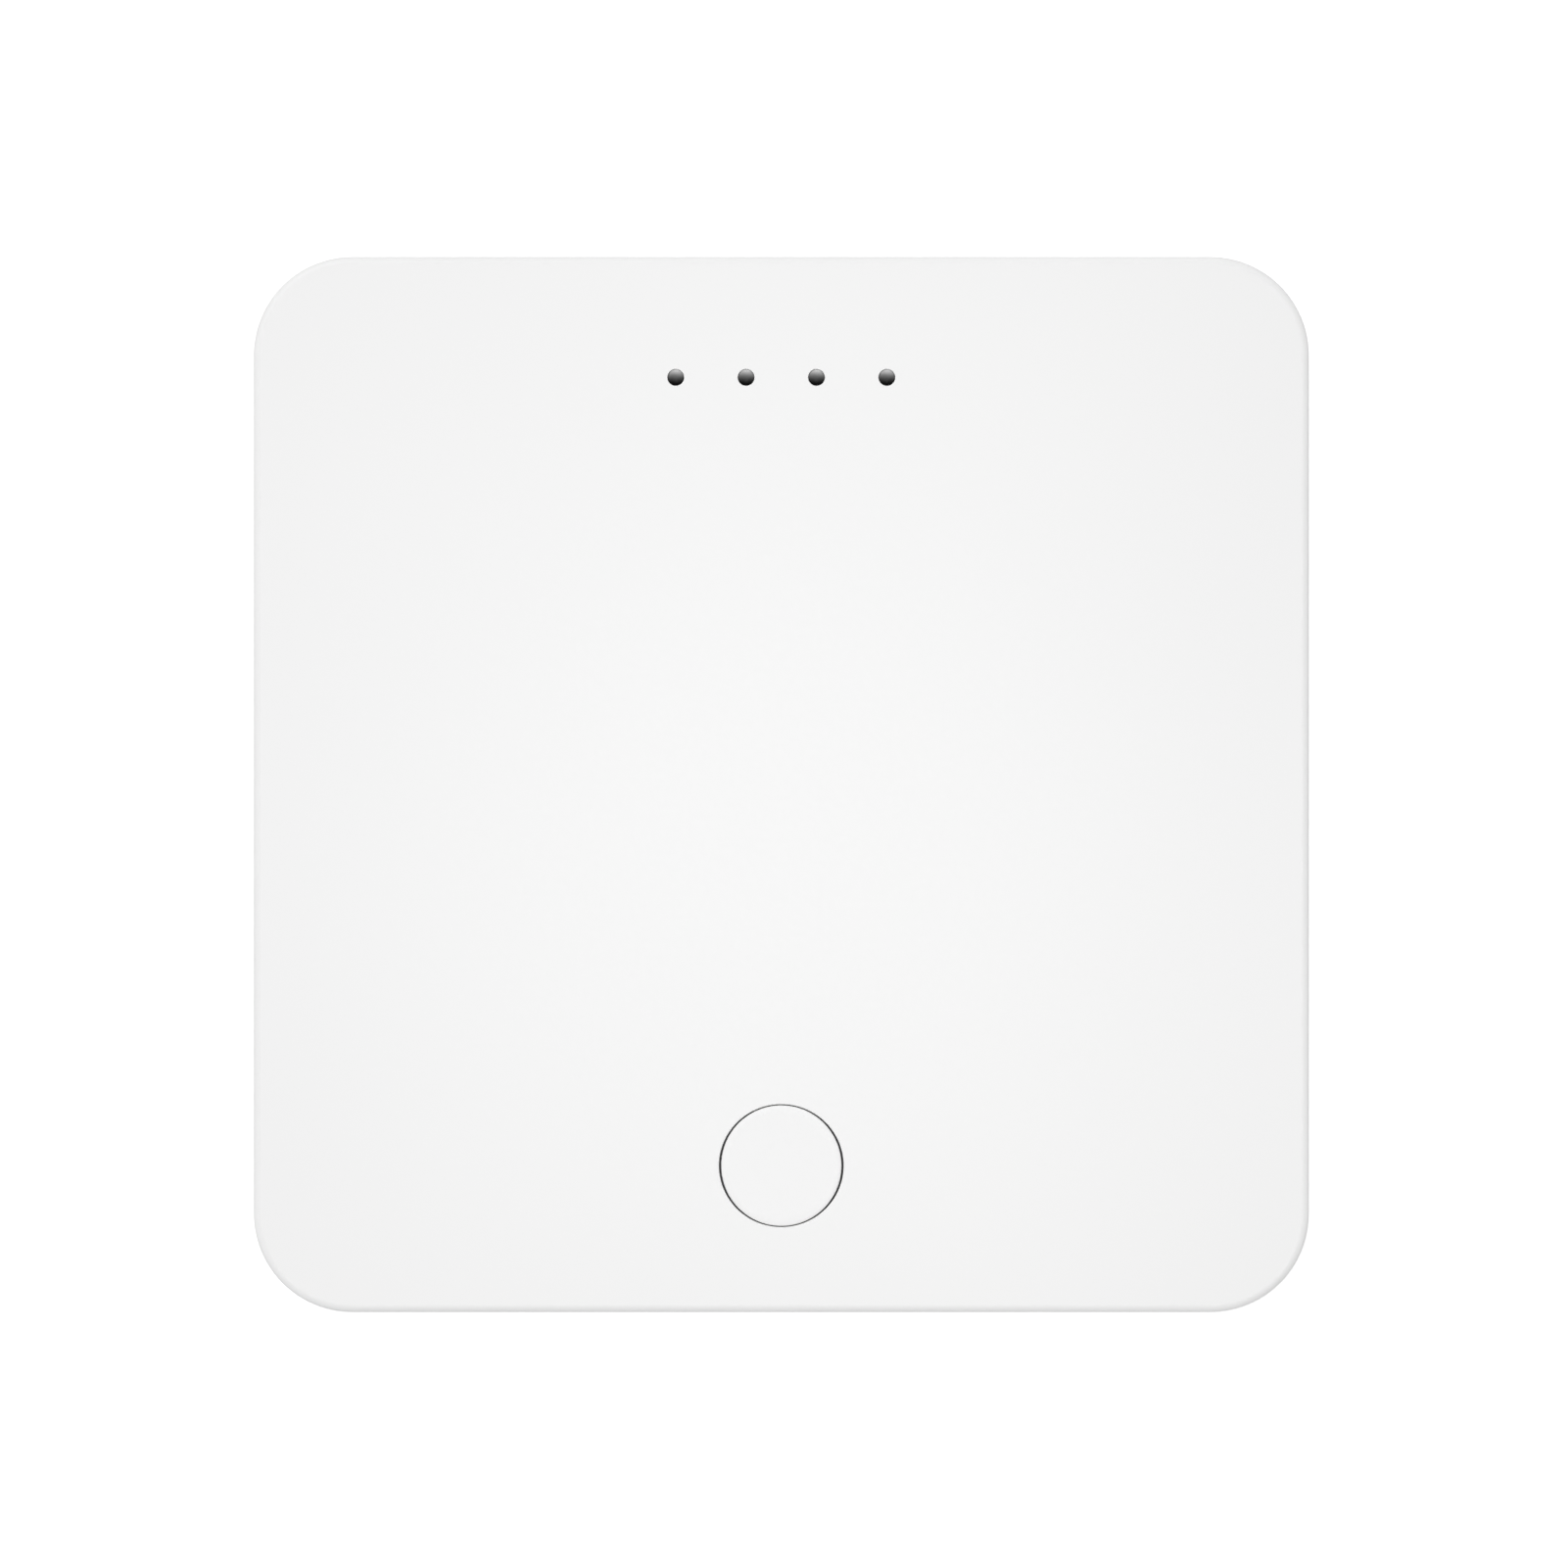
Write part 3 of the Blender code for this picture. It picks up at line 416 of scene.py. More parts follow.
def label_film():
    """Blank satin film with a thin printed frame and two lines that divide it."""
    frame_in, frame_out, side_margin = 0.915, 0.935, 0.035
    divider_at, divider_half, divider_end = 0.34, 0.012, 0.80
    recipe = Recipe("label_film", (0.80, 0.81, 0.82), 0.35)
    low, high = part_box("rating_label")
    across = recipe.maths("DIVIDE", recipe.maths("ABSOLUTE", recipe.axis("X")), (high.x - low.x) / 2)
    along = recipe.maths("DIVIDE", recipe.maths("ABSOLUTE", recipe.axis("Y")), (high.y - low.y) / 2)
    inset = recipe.maths("MAXIMUM", recipe.maths("ADD", across, side_margin), along)
    inside = recipe.maths("GREATER_THAN", inset, frame_in)
    outside = recipe.maths("LESS_THAN", inset, frame_out)
    line = recipe.maths("MULTIPLY", inside, outside)
    off_divider = recipe.maths("ABSOLUTE", recipe.maths("SUBTRACT", along, divider_at))
    divider = recipe.maths("LESS_THAN", off_divider, divider_half)
    within = recipe.maths("LESS_THAN", across, divider_end)
    printed = recipe.maths("MAXIMUM", line, recipe.maths("MULTIPLY", divider, within))
    paper = recipe.blend(recipe.noise(4 * MM, 3.0), (0.76, 0.77, 0.78), (0.82, 0.83, 0.84))
    recipe.colour(recipe.blend(printed, paper, (0.12, 0.12, 0.13)))
    recipe.rough(recipe.noise(2 * MM), 0.28, 0.42)
    recipe.bump(recipe.noise(0.7 * MM, 3.0), 0.06, 0.01 * MM)
    return recipe.material


def solder_mask():
    """Green mask over copper: fine tracks show through as lighter lines, in patches."""
    recipe = Recipe("solder_mask", (0.01, 0.12, 0.05), 0.3, Coat_Weight=0.4, Coat_Roughness=0.2)
    brick = recipe.nodes.new("ShaderNodeTexBrick")
    brick.inputs["Scale"].default_value = 1.0
    brick.inputs["Mortar Size"].default_value = 0.13 * MM
    brick.inputs["Brick Width"].default_value = 17.0 * MM
    brick.inputs["Row Height"].default_value = 0.6 * MM
    brick.inputs["Color1"].default_value = (0, 0, 0, 1)
    brick.inputs["Color2"].default_value = (0, 0, 0, 1)
    brick.inputs["Mortar"].default_value = (1, 1, 1, 1)
    recipe.links.new(recipe.place, brick.inputs["Vector"])
    patches = recipe.between(recipe.noise(9 * MM, 1.0), 0.0, 1.0, 0.50, 0.53)
    tracks = recipe.maths("MULTIPLY", brick.outputs["Color"], patches)
    mask = recipe.blend(recipe.noise(5 * MM, 3.0), (0.006, 0.085, 0.030), (0.010, 0.105, 0.040))
    recipe.colour(recipe.blend(tracks, mask, (0.03, 0.20, 0.075)))
    recipe.rough(recipe.noise(1 * MM, 2.0), 0.25, 0.38)
    recipe.bump(tracks, 0.4, 0.03 * MM)
    return recipe.material


def chip_epoxy():
    recipe = Recipe("chip_epoxy", (0.02, 0.02, 0.021), 0.6)
    speckle = recipe.noise(0.3 * MM, 4.0)
    recipe.colour(recipe.blend(speckle, (0.014, 0.014, 0.015), (0.034, 0.034, 0.036)))
    recipe.rough(recipe.noise(0.5 * MM, 3.0), 0.5, 0.7)
    recipe.bump(recipe.noise(0.09 * MM, 3.0), 0.5, 0.015 * MM)
    return recipe.material


def drawn_metal(name, colour, roughness, grain=(1.0, 0.05, 1.0), bump=0.08):
    """Sheet or wire with fine marks drawn out along one direction."""
    recipe = Recipe(name, colour, roughness, 1.0)
    marks = recipe.noise(0.12 * MM, 4.0, grain)
    dull = tuple(0.82 * part for part in colour)
    recipe.colour(recipe.blend(recipe.between(recipe.noise(2.5 * MM, 4.0), 0, 1), dull, colour))
    recipe.rough(marks, roughness * 0.75, roughness * 1.45)
    recipe.bump(marks, bump, 0.01 * MM)
    return recipe.material


def tinted_resin(name, deep, pale, roughness=0.2):
    """Cloudy resin or ceramic that light goes a little way into."""
    recipe = Recipe(name, pale, roughness, Subsurface_Weight=0.25, Subsurface_Scale=0.6 * MM, IOR=1.5)
    recipe.colour(recipe.blend(recipe.noise(1.2 * MM, 2.0), deep, pale))
    recipe.rough(recipe.noise(0.5 * MM, 3.0), roughness * 0.7, roughness * 1.4)
    recipe.bump(recipe.noise(0.3 * MM, 2.0), 0.05, 0.01 * MM)
    return recipe.material


WHITE = white_plastic()
BLACK = black_plastic("black_moulding", 0.012)
CONNECTOR_BLACK = black_plastic("connector_black", 0.016)
SMOKED_WITH_PAINTED_SHADE = smoked_acrylic()
RUBBER = rubber()
LABEL = label_film()
MASK = solder_mask()
EPOXY = chip_epoxy()
ZINC = drawn_metal("zinc_plate", (0.60, 0.60, 0.62), 0.30)
TIN = drawn_metal("tin_plate", (0.70, 0.70, 0.72), 0.24, (0.05, 1.0, 1.0))
GOLD = drawn_metal("gold_plate", (0.86, 0.62, 0.26), 0.20, (1.0, 0.05, 1.0))
SOLDER = drawn_metal("solder", (0.66, 0.66, 0.68), 0.28, (1.0, 1.0, 1.0), 0.25)
CAN = drawn_metal("drawn_can", (0.76, 0.77, 0.78), 0.26, (1.0, 1.0, 0.05))
LED_RESIN = tinted_resin("led_resin", (0.70, 0.66, 0.45), (0.86, 0.84, 0.72))
GREEN_RESIN = tinted_resin("green_resin", (0.10, 0.30, 0.10), (0.22, 0.52, 0.20))
CERAMIC = tinted_resin("passive_ceramic", (0.12, 0.085, 0.06), (0.30, 0.22, 0.15), 0.4)
AMBER_RESIN = tinted_resin("amber_resin", (0.45, 0.20, 0.03), (0.78, 0.42, 0.08))


# ---- Case --------------------------------------------------------------------------------------
JACK_LOW, JACK_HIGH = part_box("ethernet_shield")
USB_LOW, USB_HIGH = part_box("usb_shell")
JACK_X = (JACK_LOW.x + JACK_HIGH.x) / 2
USB_X = (USB_LOW.x + USB_HIGH.x) / 2
PORT_FLARE = 0.2 * MM
PORT_CORNER = 0.35 * MM


def slab(name, material, inset, levels):
    """The case's outline drawn in by inset from its outer face."""
    shifted = [(inset + extra, height) for extra, height in levels]
    return stack(name, material, rectangle(SIDE, SIDE), CORNER, shifted, steps=CORNER_STEPS)


def port_cutter(x, low, high, width):
    """Cuts a socket's opening through the rear wall and rounds its outer edge."""
    levels = flared(HALF - WALL - THROUGH, HALF, PORT_FLARE)
    at = (x, (low + high) / 2)
    return box("port", None, (width, high - low), levels, at, radius=PORT_CORNER, rear=True)


def port_cutters():
    """One cutter for each socket, clear of its shell all round."""
    jack_gap, jack_gap_below, usb_gap = 0.3 * MM, 0.2 * MM, 0.4 * MM
    jack_width = JACK_HIGH.x - JACK_LOW.x + 2 * jack_gap
    usb_width = USB_HIGH.x - USB_LOW.x + 2 * usb_gap
    return [
        port_cutter(JACK_X, JACK_LOW.z - jack_gap_below, JACK_HIGH.z + jack_gap, jack_width),
        port_cutter(USB_X, USB_LOW.z - usb_gap, USB_HIGH.z + usb_gap, usb_width),
    ]


def make_top_shell():
    """The cover, with its screw bosses, the button's collar and the light pipe holder's pins."""
    boss_radius, bore_radius, bore_top = 3.2 * MM, 1.35 * MM, 15.5 * MM
    collar_radius, collar_low = 6.9 * MM, 18.4 * MM
    pin_radius, pin_tip, pin_low, pin_x = 0.8 * MM, 0.2 * MM, 16.0 * MM, 12.8 * MM
    hole_low, hole_edge, light_edge = 17.4 * MM, 0.10 * MM, 0.05 * MM
    below, in_ceiling = COVER_LOW.z - THROUGH, CEILING_Z + OVERLAP
    lights = places("light_pipe")
    shell = slab("top_shell", WHITE, 0.0, soft(COVER_LOW.z, TOP_Z, SEAM_EDGE, TOP_EDGE, steps=10))
    cavity = slab("cavity", None, WALL, soft(below, CEILING_Z, top=INNER_EDGE, steps=4))
    rebate = slab("rebate", None, WALL - LIP - LIP_GAP, straight(below, TRAY_HIGH.z + LIP_GAP))
    combine(shell, [cavity, rebate], "DIFFERENCE")

    bosses = discs("boss", boss_radius, straight(COVER_LOW.z, in_ceiling), corners_at(POST_AT))
    collar = discs("collar", collar_radius, straight(collar_low, in_ceiling), [BUTTON_AT])
    pin_spots = [(x, lights[0][1]) for x in (-pin_x, pin_x)]
    pins = discs("pin", pin_radius, soft(pin_low, in_ceiling, pin_tip), pin_spots)
    combine(shell, bosses + collar + pins, "UNION")

    light_levels = flared(CEILING_Z - THROUGH, TOP_Z, light_edge)
    bores = discs("bore", bore_radius, straight(below, bore_top), corners_at(POST_AT))
    button_hole = discs("button_hole", HOLE_RADIUS, flared(hole_low, TOP_Z, hole_edge), [BUTTON_AT], 40)
    button_hole[0].scale = (1.0, HOLE_DEPTH_SHARE, 1.0)
    light_holes = discs("light_hole", LIGHT_RADIUS, light_levels, lights, 16)
    combine(shell, bores + button_hole + light_holes + port_cutters(), "DIFFERENCE")
    show(shell, "hub", "white_plastic", "top_cover")


def make_bottom_shell():
    """The tray, with the lip that enters the cover, its screw posts and the board's standoffs."""
    post_radius, standoff_radius = 3.3 * MM, 2.6 * MM
    standoff_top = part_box("main_board")[0].z - 0.3 * MM
    in_floor, above = FLOOR_Z - OVERLAP, TRAY_HIGH.z + THROUGH
    outer = soft(TRAY_LOW.z, TRAY_TOP_Z, BASE_EDGE, SEAM_EDGE, steps=12)
    shell = slab("bottom_shell", WHITE, 0.0, outer)
    lip = slab("lip", None, WALL - LIP, soft(FLOOR_Z, TRAY_HIGH.z, top=0.2 * MM))
    combine(shell, [lip], "UNION")
    cavity = slab("cavity", None, WALL, soft(FLOOR_Z, above, bottom=INNER_EDGE, steps=4))
    combine(shell, [cavity], "DIFFERENCE")
    posts = discs("post", post_radius, straight(in_floor, TRAY_TOP_Z), corners_at(POST_AT))
    standoffs = discs("standoff", standoff_radius, straight(in_floor, standoff_top), places("board_screw"))
    combine(shell, posts + standoffs, "UNION")
    combine(shell, screw_bores(above) + base_recesses(above) + port_cutters(), "DIFFERENCE")
    show(shell, "hub", "white_plastic", "bottom_cover")


def screw_bores(above):
    """Cutters for the case screws' heads and shanks and for the board screws' threads."""
    head_radius, seat_z, shank_radius = 2.8 * MM, 4.0 * MM, 1.55 * MM
    thread_radius, thread_low = 1.05 * MM, 2.2 * MM
    below = TRAY_LOW.z - THROUGH
    heads = discs("head_bore", head_radius, straight(below, seat_z), corners_at(POST_AT))
    shanks = discs("shank_bore", shank_radius, straight(below, above), corners_at(POST_AT))
    threads = discs("thread_bore", thread_radius, straight(thread_low, above), places("board_screw"))
    return heads + shanks + threads


def base_recesses(above):
    """Cutters for the feet's and the label's recesses and for the two sets of vents."""
    foot_radius, foot_levels = 5.3 * MM, from_below(1.7 * MM, 0.15 * MM)
    label_size, label_levels = (40.6 * MM, 24.6 * MM), from_below(1.3 * MM, 0.1 * MM)
    vent_size, vent_levels = (22.0 * MM, 1.6 * MM), from_below(above, 0.25 * MM)
    first_vent, vent_pitch, vents_a_side = 16.5 * MM, 3.0 * MM, 5
    recesses = discs("foot_recess", foot_radius, foot_levels, corners_at(POST_AT))
    recesses.append(box("label_recess", None, label_size, label_levels, radius=1.5 * MM))
    for side in (-1, 1):
        for i in range(vents_a_side):
            at = (0.0, side * (first_vent + vent_pitch * i))
            recesses.append(box("vent", None, vent_size, vent_levels, at, radius=0.79 * MM))
    return recesses


def make_button():
    """The cap, with a softly rounded edge, a barely dished face, a flange and a stem."""
    top, bottom = BUTTON_HIGH.z, BUTTON_LOW.z
    edge, dish = 0.12 * MM, 0.02 * MM
    flange, flange_top, flange_low = (BUTTON_HIGH.x - BUTTON_LOW.x) / 2, 18.1 * MM, 17.1 * MM
    hollow, hollow_top, stem = 4.2 * MM, top - 1.4 * MM, 1.6 * MM
    shares = (0.0, 0.25, 0.5, 0.75, 0.9)
    face = [(CAP_RADIUS * share, top - dish * (1 - share * share)) for share in shares]
    rim = [(CAP_RADIUS - edge + across, top - along) for across, along in arc(edge, 6)]
    inside = [
        (CAP_RADIUS, flange_top),
        (flange, flange_top),
        (flange, flange_low),
        (hollow, flange_low),
        (hollow, hollow_top),
        (stem, hollow_top),
        (stem, bottom),
        (0.0, bottom),
    ]
    profile = [(radius, height - top) for radius, height in face + rim + inside]
    cap = turned("push_button", WHITE, profile, (*BUTTON_AT, top), 160)
    cap.data.transform(Matrix.Diagonal((1.0, CAP_DEPTH_SHARE, 1.0, 1.0)))
    show(cap, "button", "white_plastic", "button_cap")


def make_feet():
    """Round rubber feet with a rounded edge and a shallow ring groove in the sole."""
    edge, groove = 0.3 * MM, 0.15 * MM
    ring = [(4.0 * MM, 0.0), (3.9 * MM, groove), (3.5 * MM, groove), (3.4 * MM, 0.0), (0.0, 0.0)]
    for i, at in enumerate(places("rubber_foot"), start=1):
        low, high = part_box(f"rubber_foot_{i}")
        radius = (high.x - low.x) / 2
        sole = [(radius - edge + across, along) for across, along in arc(edge, 6)[::-1]]
        profile = [(0.0, high.z), (radius, high.z)] + sole + ring
        foot = turned(f"foot_{i}", RUBBER, profile, (*at, 0.0))
        show(foot, "hub", "grey_rubber", f"rubber_foot_{i}")


def make_label():
    low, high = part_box("rating_label")
    size = (high.x - low.x, high.y - low.y)
    levels = soft(low.z, high.z, bottom=0.04 * MM, steps=3)
    show(box("blank_label", LABEL, size, levels, radius=1.2 * MM), "hub", "label_film", "rating_label")


def make_light_pipes():
    """Light pipes whose domed tips fill the holes in the top face."""
    tip, tip_low, dome = LIGHT_RADIUS - 0.02 * MM, CEILING_Z - 0.2 * MM, 0.16 * MM
    pipe, pipe_top = 1.15 * MM, CEILING_Z - 0.6 * MM
    foot, foot_height = 1.55 * MM, 1.0 * MM
    for i, at in enumerate(places("light_pipe"), start=1):
        low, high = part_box(f"light_pipe_{i}")
        crown = [(tip * math.sin(a), high.z - dome * (1 - math.cos(a))) for a in quarter(10)]
        profile = crown + [
            (tip, tip_low),
            (pipe, pipe_top),
            (pipe, low.z + foot_height),
            (foot, low.z),
            (0.0, low.z),
        ]
        piece = turned(f"light_pipe_tip_{i}", SMOKED_WITH_PAINTED_SHADE, profile, (*at, 0.0), 48)
        show(piece, "hub", "smoked_acrylic", f"light_pipe_{i}")


def make_snap_dome():
    """The switch's thin steel dome, on a mesh of its own."""
    low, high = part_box("switch_dome")
    radius, rise, sheet = (high.x - low.x) / 2, high.z - low.z, 0.07 * MM
    outer = [(radius * math.sin(a), low.z + rise * math.cos(a)) for a in quarter(12)]
    inner = [((radius - sheet) * math.sin(a), low.z + (rise - sheet) * math.cos(a)) for a in quarter(12)]
    dome = turned("snap_dome", ZINC, outer + inner[::-1], (*BUTTON_AT, 0.0), 64)
    show(dome, "hub", "steel", "switch_dome")
    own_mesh(dome)


# ---- Network socket ----------------------------------------------------------------------------
WIRE_PITCH = 1.02 * MM


def rear_box(name, material, half_width, depths, heights, x=0.0, radius=0.05 * MM, front=0.0, flare=0.0):
    """A block of the network socket that runs from back to front, rounded or flared at its front."""
    back, face = depths
    low, high = heights
    levels = flared(back, face, flare) if flare else soft(back, face, top=front, steps=5)
    at = (JACK_X + x, (low + high) / 2)
    return box(name, material, (2 * half_width, high - low), levels, at, radius=radius, rear=True)


def make_jack_shield():
    """The folded sheet can, open below, with a lip round its window."""
    sheet, lip = 0.3 * MM, 0.9 * MM
    half = (JACK_HIGH.x - JACK_LOW.x) / 2
    back, front = JACK_LOW.y, JACK_HIGH.y
    low, high = JACK_LOW.z, JACK_HIGH.z
    under = low - THROUGH
    depths, hollow, opening = (back, front), (back + sheet, front - sheet), (front - THROUGH, front)
    shield = rear_box("jack_shield", TIN, half, depths, (low, high), radius=0.45 * MM, front=0.28 * MM)
    room = rear_box("room", None, half - sheet, hollow, (under, high - sheet), radius=0.2 * MM)
    window = rear_box(
        "window", None, half - lip, opening, (under, high - lip), radius=0.25 * MM, flare=0.08 * MM
    )
    combine(shield, [room, window], "DIFFERENCE")
    show(shield, "hub", "tinned_sheet", "ethernet_shield")


def make_jack_insert():
    """The moulding: a stepped cavity for the plug, a comb for the wires and pockets for the lamps."""
    low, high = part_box("ethernet_insert")
    half, face = (high.x - low.x) / 2, high.y
    insert = rear_box("jack_insert", CONNECTOR_BLACK, half, (low.y, face), (low.z, high.z), radius=0.1 * MM)
    # Half width, back, lowest and highest point, corner and flare of each step, in millimetres
    steps = (
        (5.95, 31.0, 10.8, 17.7, 0.15, 0.35),
        (3.15, 31.5, 9.0, 10.9, 0.10, 0.20),
        (2.00, 31.5, 8.0, 9.1, 0.10, 0.15),
    )
    hollows = []
    for step in steps:
        width, back, bottom, top, corner, flare = (value * MM for value in step)
        depths, heights = (back, face), (bottom, top)
        hollows.append(rear_box("step", None, width, depths, heights, radius=corner, flare=flare))
    wire_depths, wire_heights = (30.5 * MM, 40.9 * MM), (17.6 * MM, 18.6 * MM)
    hollows.append(rear_box("wires", None, 4.28 * MM, wire_depths, wire_heights))
    lamp_depths, lamp_heights = (face - 3.0 * MM, face + THROUGH), (8.2 * MM, 10.1 * MM)
    for x in (-5.4 * MM, 5.4 * MM):
        hollows.append(rear_box("pocket", None, 1.5 * MM, lamp_depths, lamp_heights, x, radius=0.25 * MM))
    combine(insert, hollows, "DIFFERENCE")
    tooth_depths, tooth_heights = (30.6 * MM, 34.0 * MM), (16.6 * MM, 18.8 * MM)
    between_wires = row(9, WIRE_PITCH)[1:-1]
    comb = [rear_box("tooth", None, 0.19 * MM, tooth_depths, tooth_heights, x) for x in between_wires]
    combine(insert, comb, "UNION")
    show(insert, "hub", "black_plastic", "ethernet_insert")


def make_jack_lamps():
    lamps = (("left", GREEN_RESIN, "lamp_green"), ("right", AMBER_RESIN, "lamp_amber"))
    for side, resin, slot in lamps:
        low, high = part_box(f"ethernet_lamp_{side}")
        half, x = (high.x - low.x) / 2, (low.x + high.x) / 2 - JACK_X
        depths, heights = (low.y, high.y), (low.z, high.z)
        name = f"socket_lamp_{side}"
        lamp = rear_box(name, resin, half, depths, heights, x, radius=0.22 * MM, front=0.2 * MM)
        show(lamp, "hub", slot, f"ethernet_lamp_{side}")


def wire(name, material, points, radius, at):
    """A round wire through points in a YZ plane, closed at both ends."""
    curve = bpy.data.curves.new(name, "CURVE")
    curve.dimensions = "3D"
    curve.bevel_depth = radius
    curve.bevel_resolution = 4
    curve.use_fill_caps = True
    spline = curve.splines.new("POLY")
    spline.points.add(len(points) - 1)
    for point, (y, z) in zip(spline.points, points):
        point.co = (0.0, y, z, 1.0)
    path = new_object(name, curve)
    bm = bmesh.new()
    bm.from_mesh(evaluated_mesh(path))
    bpy.data.objects.remove(path, do_unlink=True)
    return new_object(name, mesh_from(bm, name), material, at)


def make_jack_contacts():
    """Spring wires: straight along the socket's ceiling, round a tight bend, and back at a slope."""
    ceiling_z, bend, thickness = 18.1 * MM, 0.32 * MM, 0.4 * MM
    start_y, bend_y = 31.2 * MM, 39.8 * MM
    end_y, end_z = 34.5 * MM, 15.3 * MM
    slope = math.atan2(end_z - (ceiling_z - 2 * bend), end_y - bend_y)
    sweep = [math.pi / 2 + slope * k / 10 for k in range(11)]
    centre_z = ceiling_z - bend
    turn = [(bend_y + bend * math.cos(a), centre_z + bend * math.sin(a)) for a in sweep]
    points = [(start_y, ceiling_z)] + turn + [(end_y, end_z)]
    for i, x in enumerate(row(8, WIRE_PITCH), start=1):
        contact = wire(f"jack_contact_{i}", GOLD, points, thickness / 2, (JACK_X + x, 0.0, 0.0))
        show(contact, "hub", "gold", f"ethernet_contact_{i}")


# ---- Power socket ------------------------------------------------------------------------------
USB_CORNER = 0.55 * MM


def usb_outline():
    """The power socket's outline, whose lower corners are cut back so that the plug is keyed."""
    key_inset, key_rise = 1.0 * MM, 1.2 * MM
    half = (USB_HIGH.x - USB_LOW.x) / 2
    narrow = half - key_inset
    low, key, high = USB_LOW.z, USB_LOW.z + key_rise, USB_HIGH.z
    return ((half, key), (half, high), (-half, high), (-half, key), (-narrow, low), (narrow, low))


def make_usb_socket():
    """The keyed shell, the plug of plastic in its back, and the blade with its five contacts."""
    sheet, edge, lead_in, gap = 0.3 * MM, 0.1 * MM, 0.05 * MM, 0.03 * MM
    back, front = USB_LOW.y, USB_HIGH.y
    at, options = (USB_X, 0.0), {"steps": 6, "rear": True}
    rounding = [(edge - across, front - along) for across, along in arc(edge, 4)[::-1]]
    levels = [(0.0, back)] + rounding + [(sheet - lead_in, front), (sheet, front), (sheet, back)]
    shell = stack("power_shell", TIN, usb_outline(), USB_CORNER, levels, at, tube=True, **options)
    show(shell, "hub", "tinned_sheet", "usb_shell")

    low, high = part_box("usb_tongue")
    plug = [(sheet + gap + inset, y) for inset, y in soft(low.y, low.y + 1.2 * MM, top=0.1 * MM)]
    tongue = stack("power_tongue", CONNECTOR_BLACK, usb_outline(), USB_CORNER, plug, at, **options)
    blade_low, blade_high = USB_HIGH.z - 1.1 * MM, USB_HIGH.z - 0.5 * MM
    blade_size, blade_at = (3.7 * MM, blade_high - blade_low), (USB_X, (blade_low + blade_high) / 2)
    blade_levels = soft(low.y + 0.9 * MM, high.y, top=0.15 * MM)
    blade = box("blade", None, blade_size, blade_levels, blade_at, radius=0.08 * MM, rear=True)
    combine(tongue, [blade], "UNION")
    show(tongue, "hub", "black_plastic", "usb_tongue")

    strip_size, strip_z = (0.36 * MM, 0.08 * MM), blade_low - 0.02 * MM
    strip_levels = soft(low.y + 1.0 * MM, high.y - 0.35 * MM, top=0.04 * MM, steps=3)
    for i, x in enumerate(row(5, 0.65 * MM), start=1):
        strip_at = (USB_X + x, strip_z)
        strip = box(f"power_contact_{i}", GOLD, strip_size, strip_levels, strip_at, 0.02 * MM, rear=True)
        show(strip, "hub", "gold")


# ---- Small electronics, which have no CAD nodes ------------------------------------------------
BOARD_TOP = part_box("main_board")[1].z


def finish_parts(bm, name, material, slot):
    """Makes one piece of a mesh that holds many small parts."""
    show(new_object(name, mesh_from(bm, name), material), "hub", slot)


def add_brick(bm, centre, size, edge):
    """Adds a block with bevelled edges to a mesh that holds many."""
    matrix = Matrix.Translation(centre) @ Matrix.Diagonal((*size, 1.0))
    verts = bmesh.ops.create_cube(bm, size=1.0, matrix=matrix)["verts"]
    edges = list({e for v in verts for e in v.link_edges})
    bmesh.ops.bevel(bm, geom=edges, offset=edge, segments=2, affect="EDGES", profile=0.5)


def add_prism(bm, outline, matrix, depth):
    """Adds an outline, given in the matrix's XY plane, with a thickness along its Z."""
    near = [bm.verts.new(matrix @ Vector((x, y, -depth / 2))) for x, y in outline]
    far = [bm.verts.new(matrix @ Vector((x, y, depth / 2))) for x, y in outline]
    bm.faces.new(near[::-1])
    bm.faces.new(far)
    for i in range(len(outline)):
        bm.faces.new((near[i - 1], near[i], far[i], far[i - 1]))


def add_leads(bm, node, angle, count, pitch, width):
    """Bent leads along one side of a chip; the side faces the direction at this angle."""
    low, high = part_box(node)
    centre, size = (low + high) / 2, high - low
    sheet, lift, root = 0.12 * MM, 0.02 * MM, -0.1 * MM
    shoulder = low.z + min(0.5 * size.z, 0.9 * MM) - BOARD_TOP
    knee, heel, toe = 0.25 * MM, 0.50 * MM, 1.00 * MM
    outline = [
        (root, shoulder),
        (root, shoulder - sheet),
        (knee, shoulder - sheet),
        (heel, lift),
        (toe, lift),
        (toe, lift + sheet),
        (heel + 0.10 * MM, lift + sheet),
        (knee + 0.11 * MM, shoulder),
    ]
    up = Vector((0.0, 0.0, 1.0))
    outward = Vector((math.cos(angle), math.sin(angle), 0.0))
    along = Vector((-math.sin(angle), math.cos(angle), 0.0))
    reach = abs(outward.x) * size.x / 2 + abs(outward.y) * size.y / 2
    foot = Vector((centre.x, centre.y, BOARD_TOP)) + outward * reach
    for offset in row(count, pitch):
        matrix = Matrix((outward, up, outward.cross(up))).transposed().to_4x4()
        matrix.translation = foot + along * offset
        add_prism(bm, outline, matrix, width)


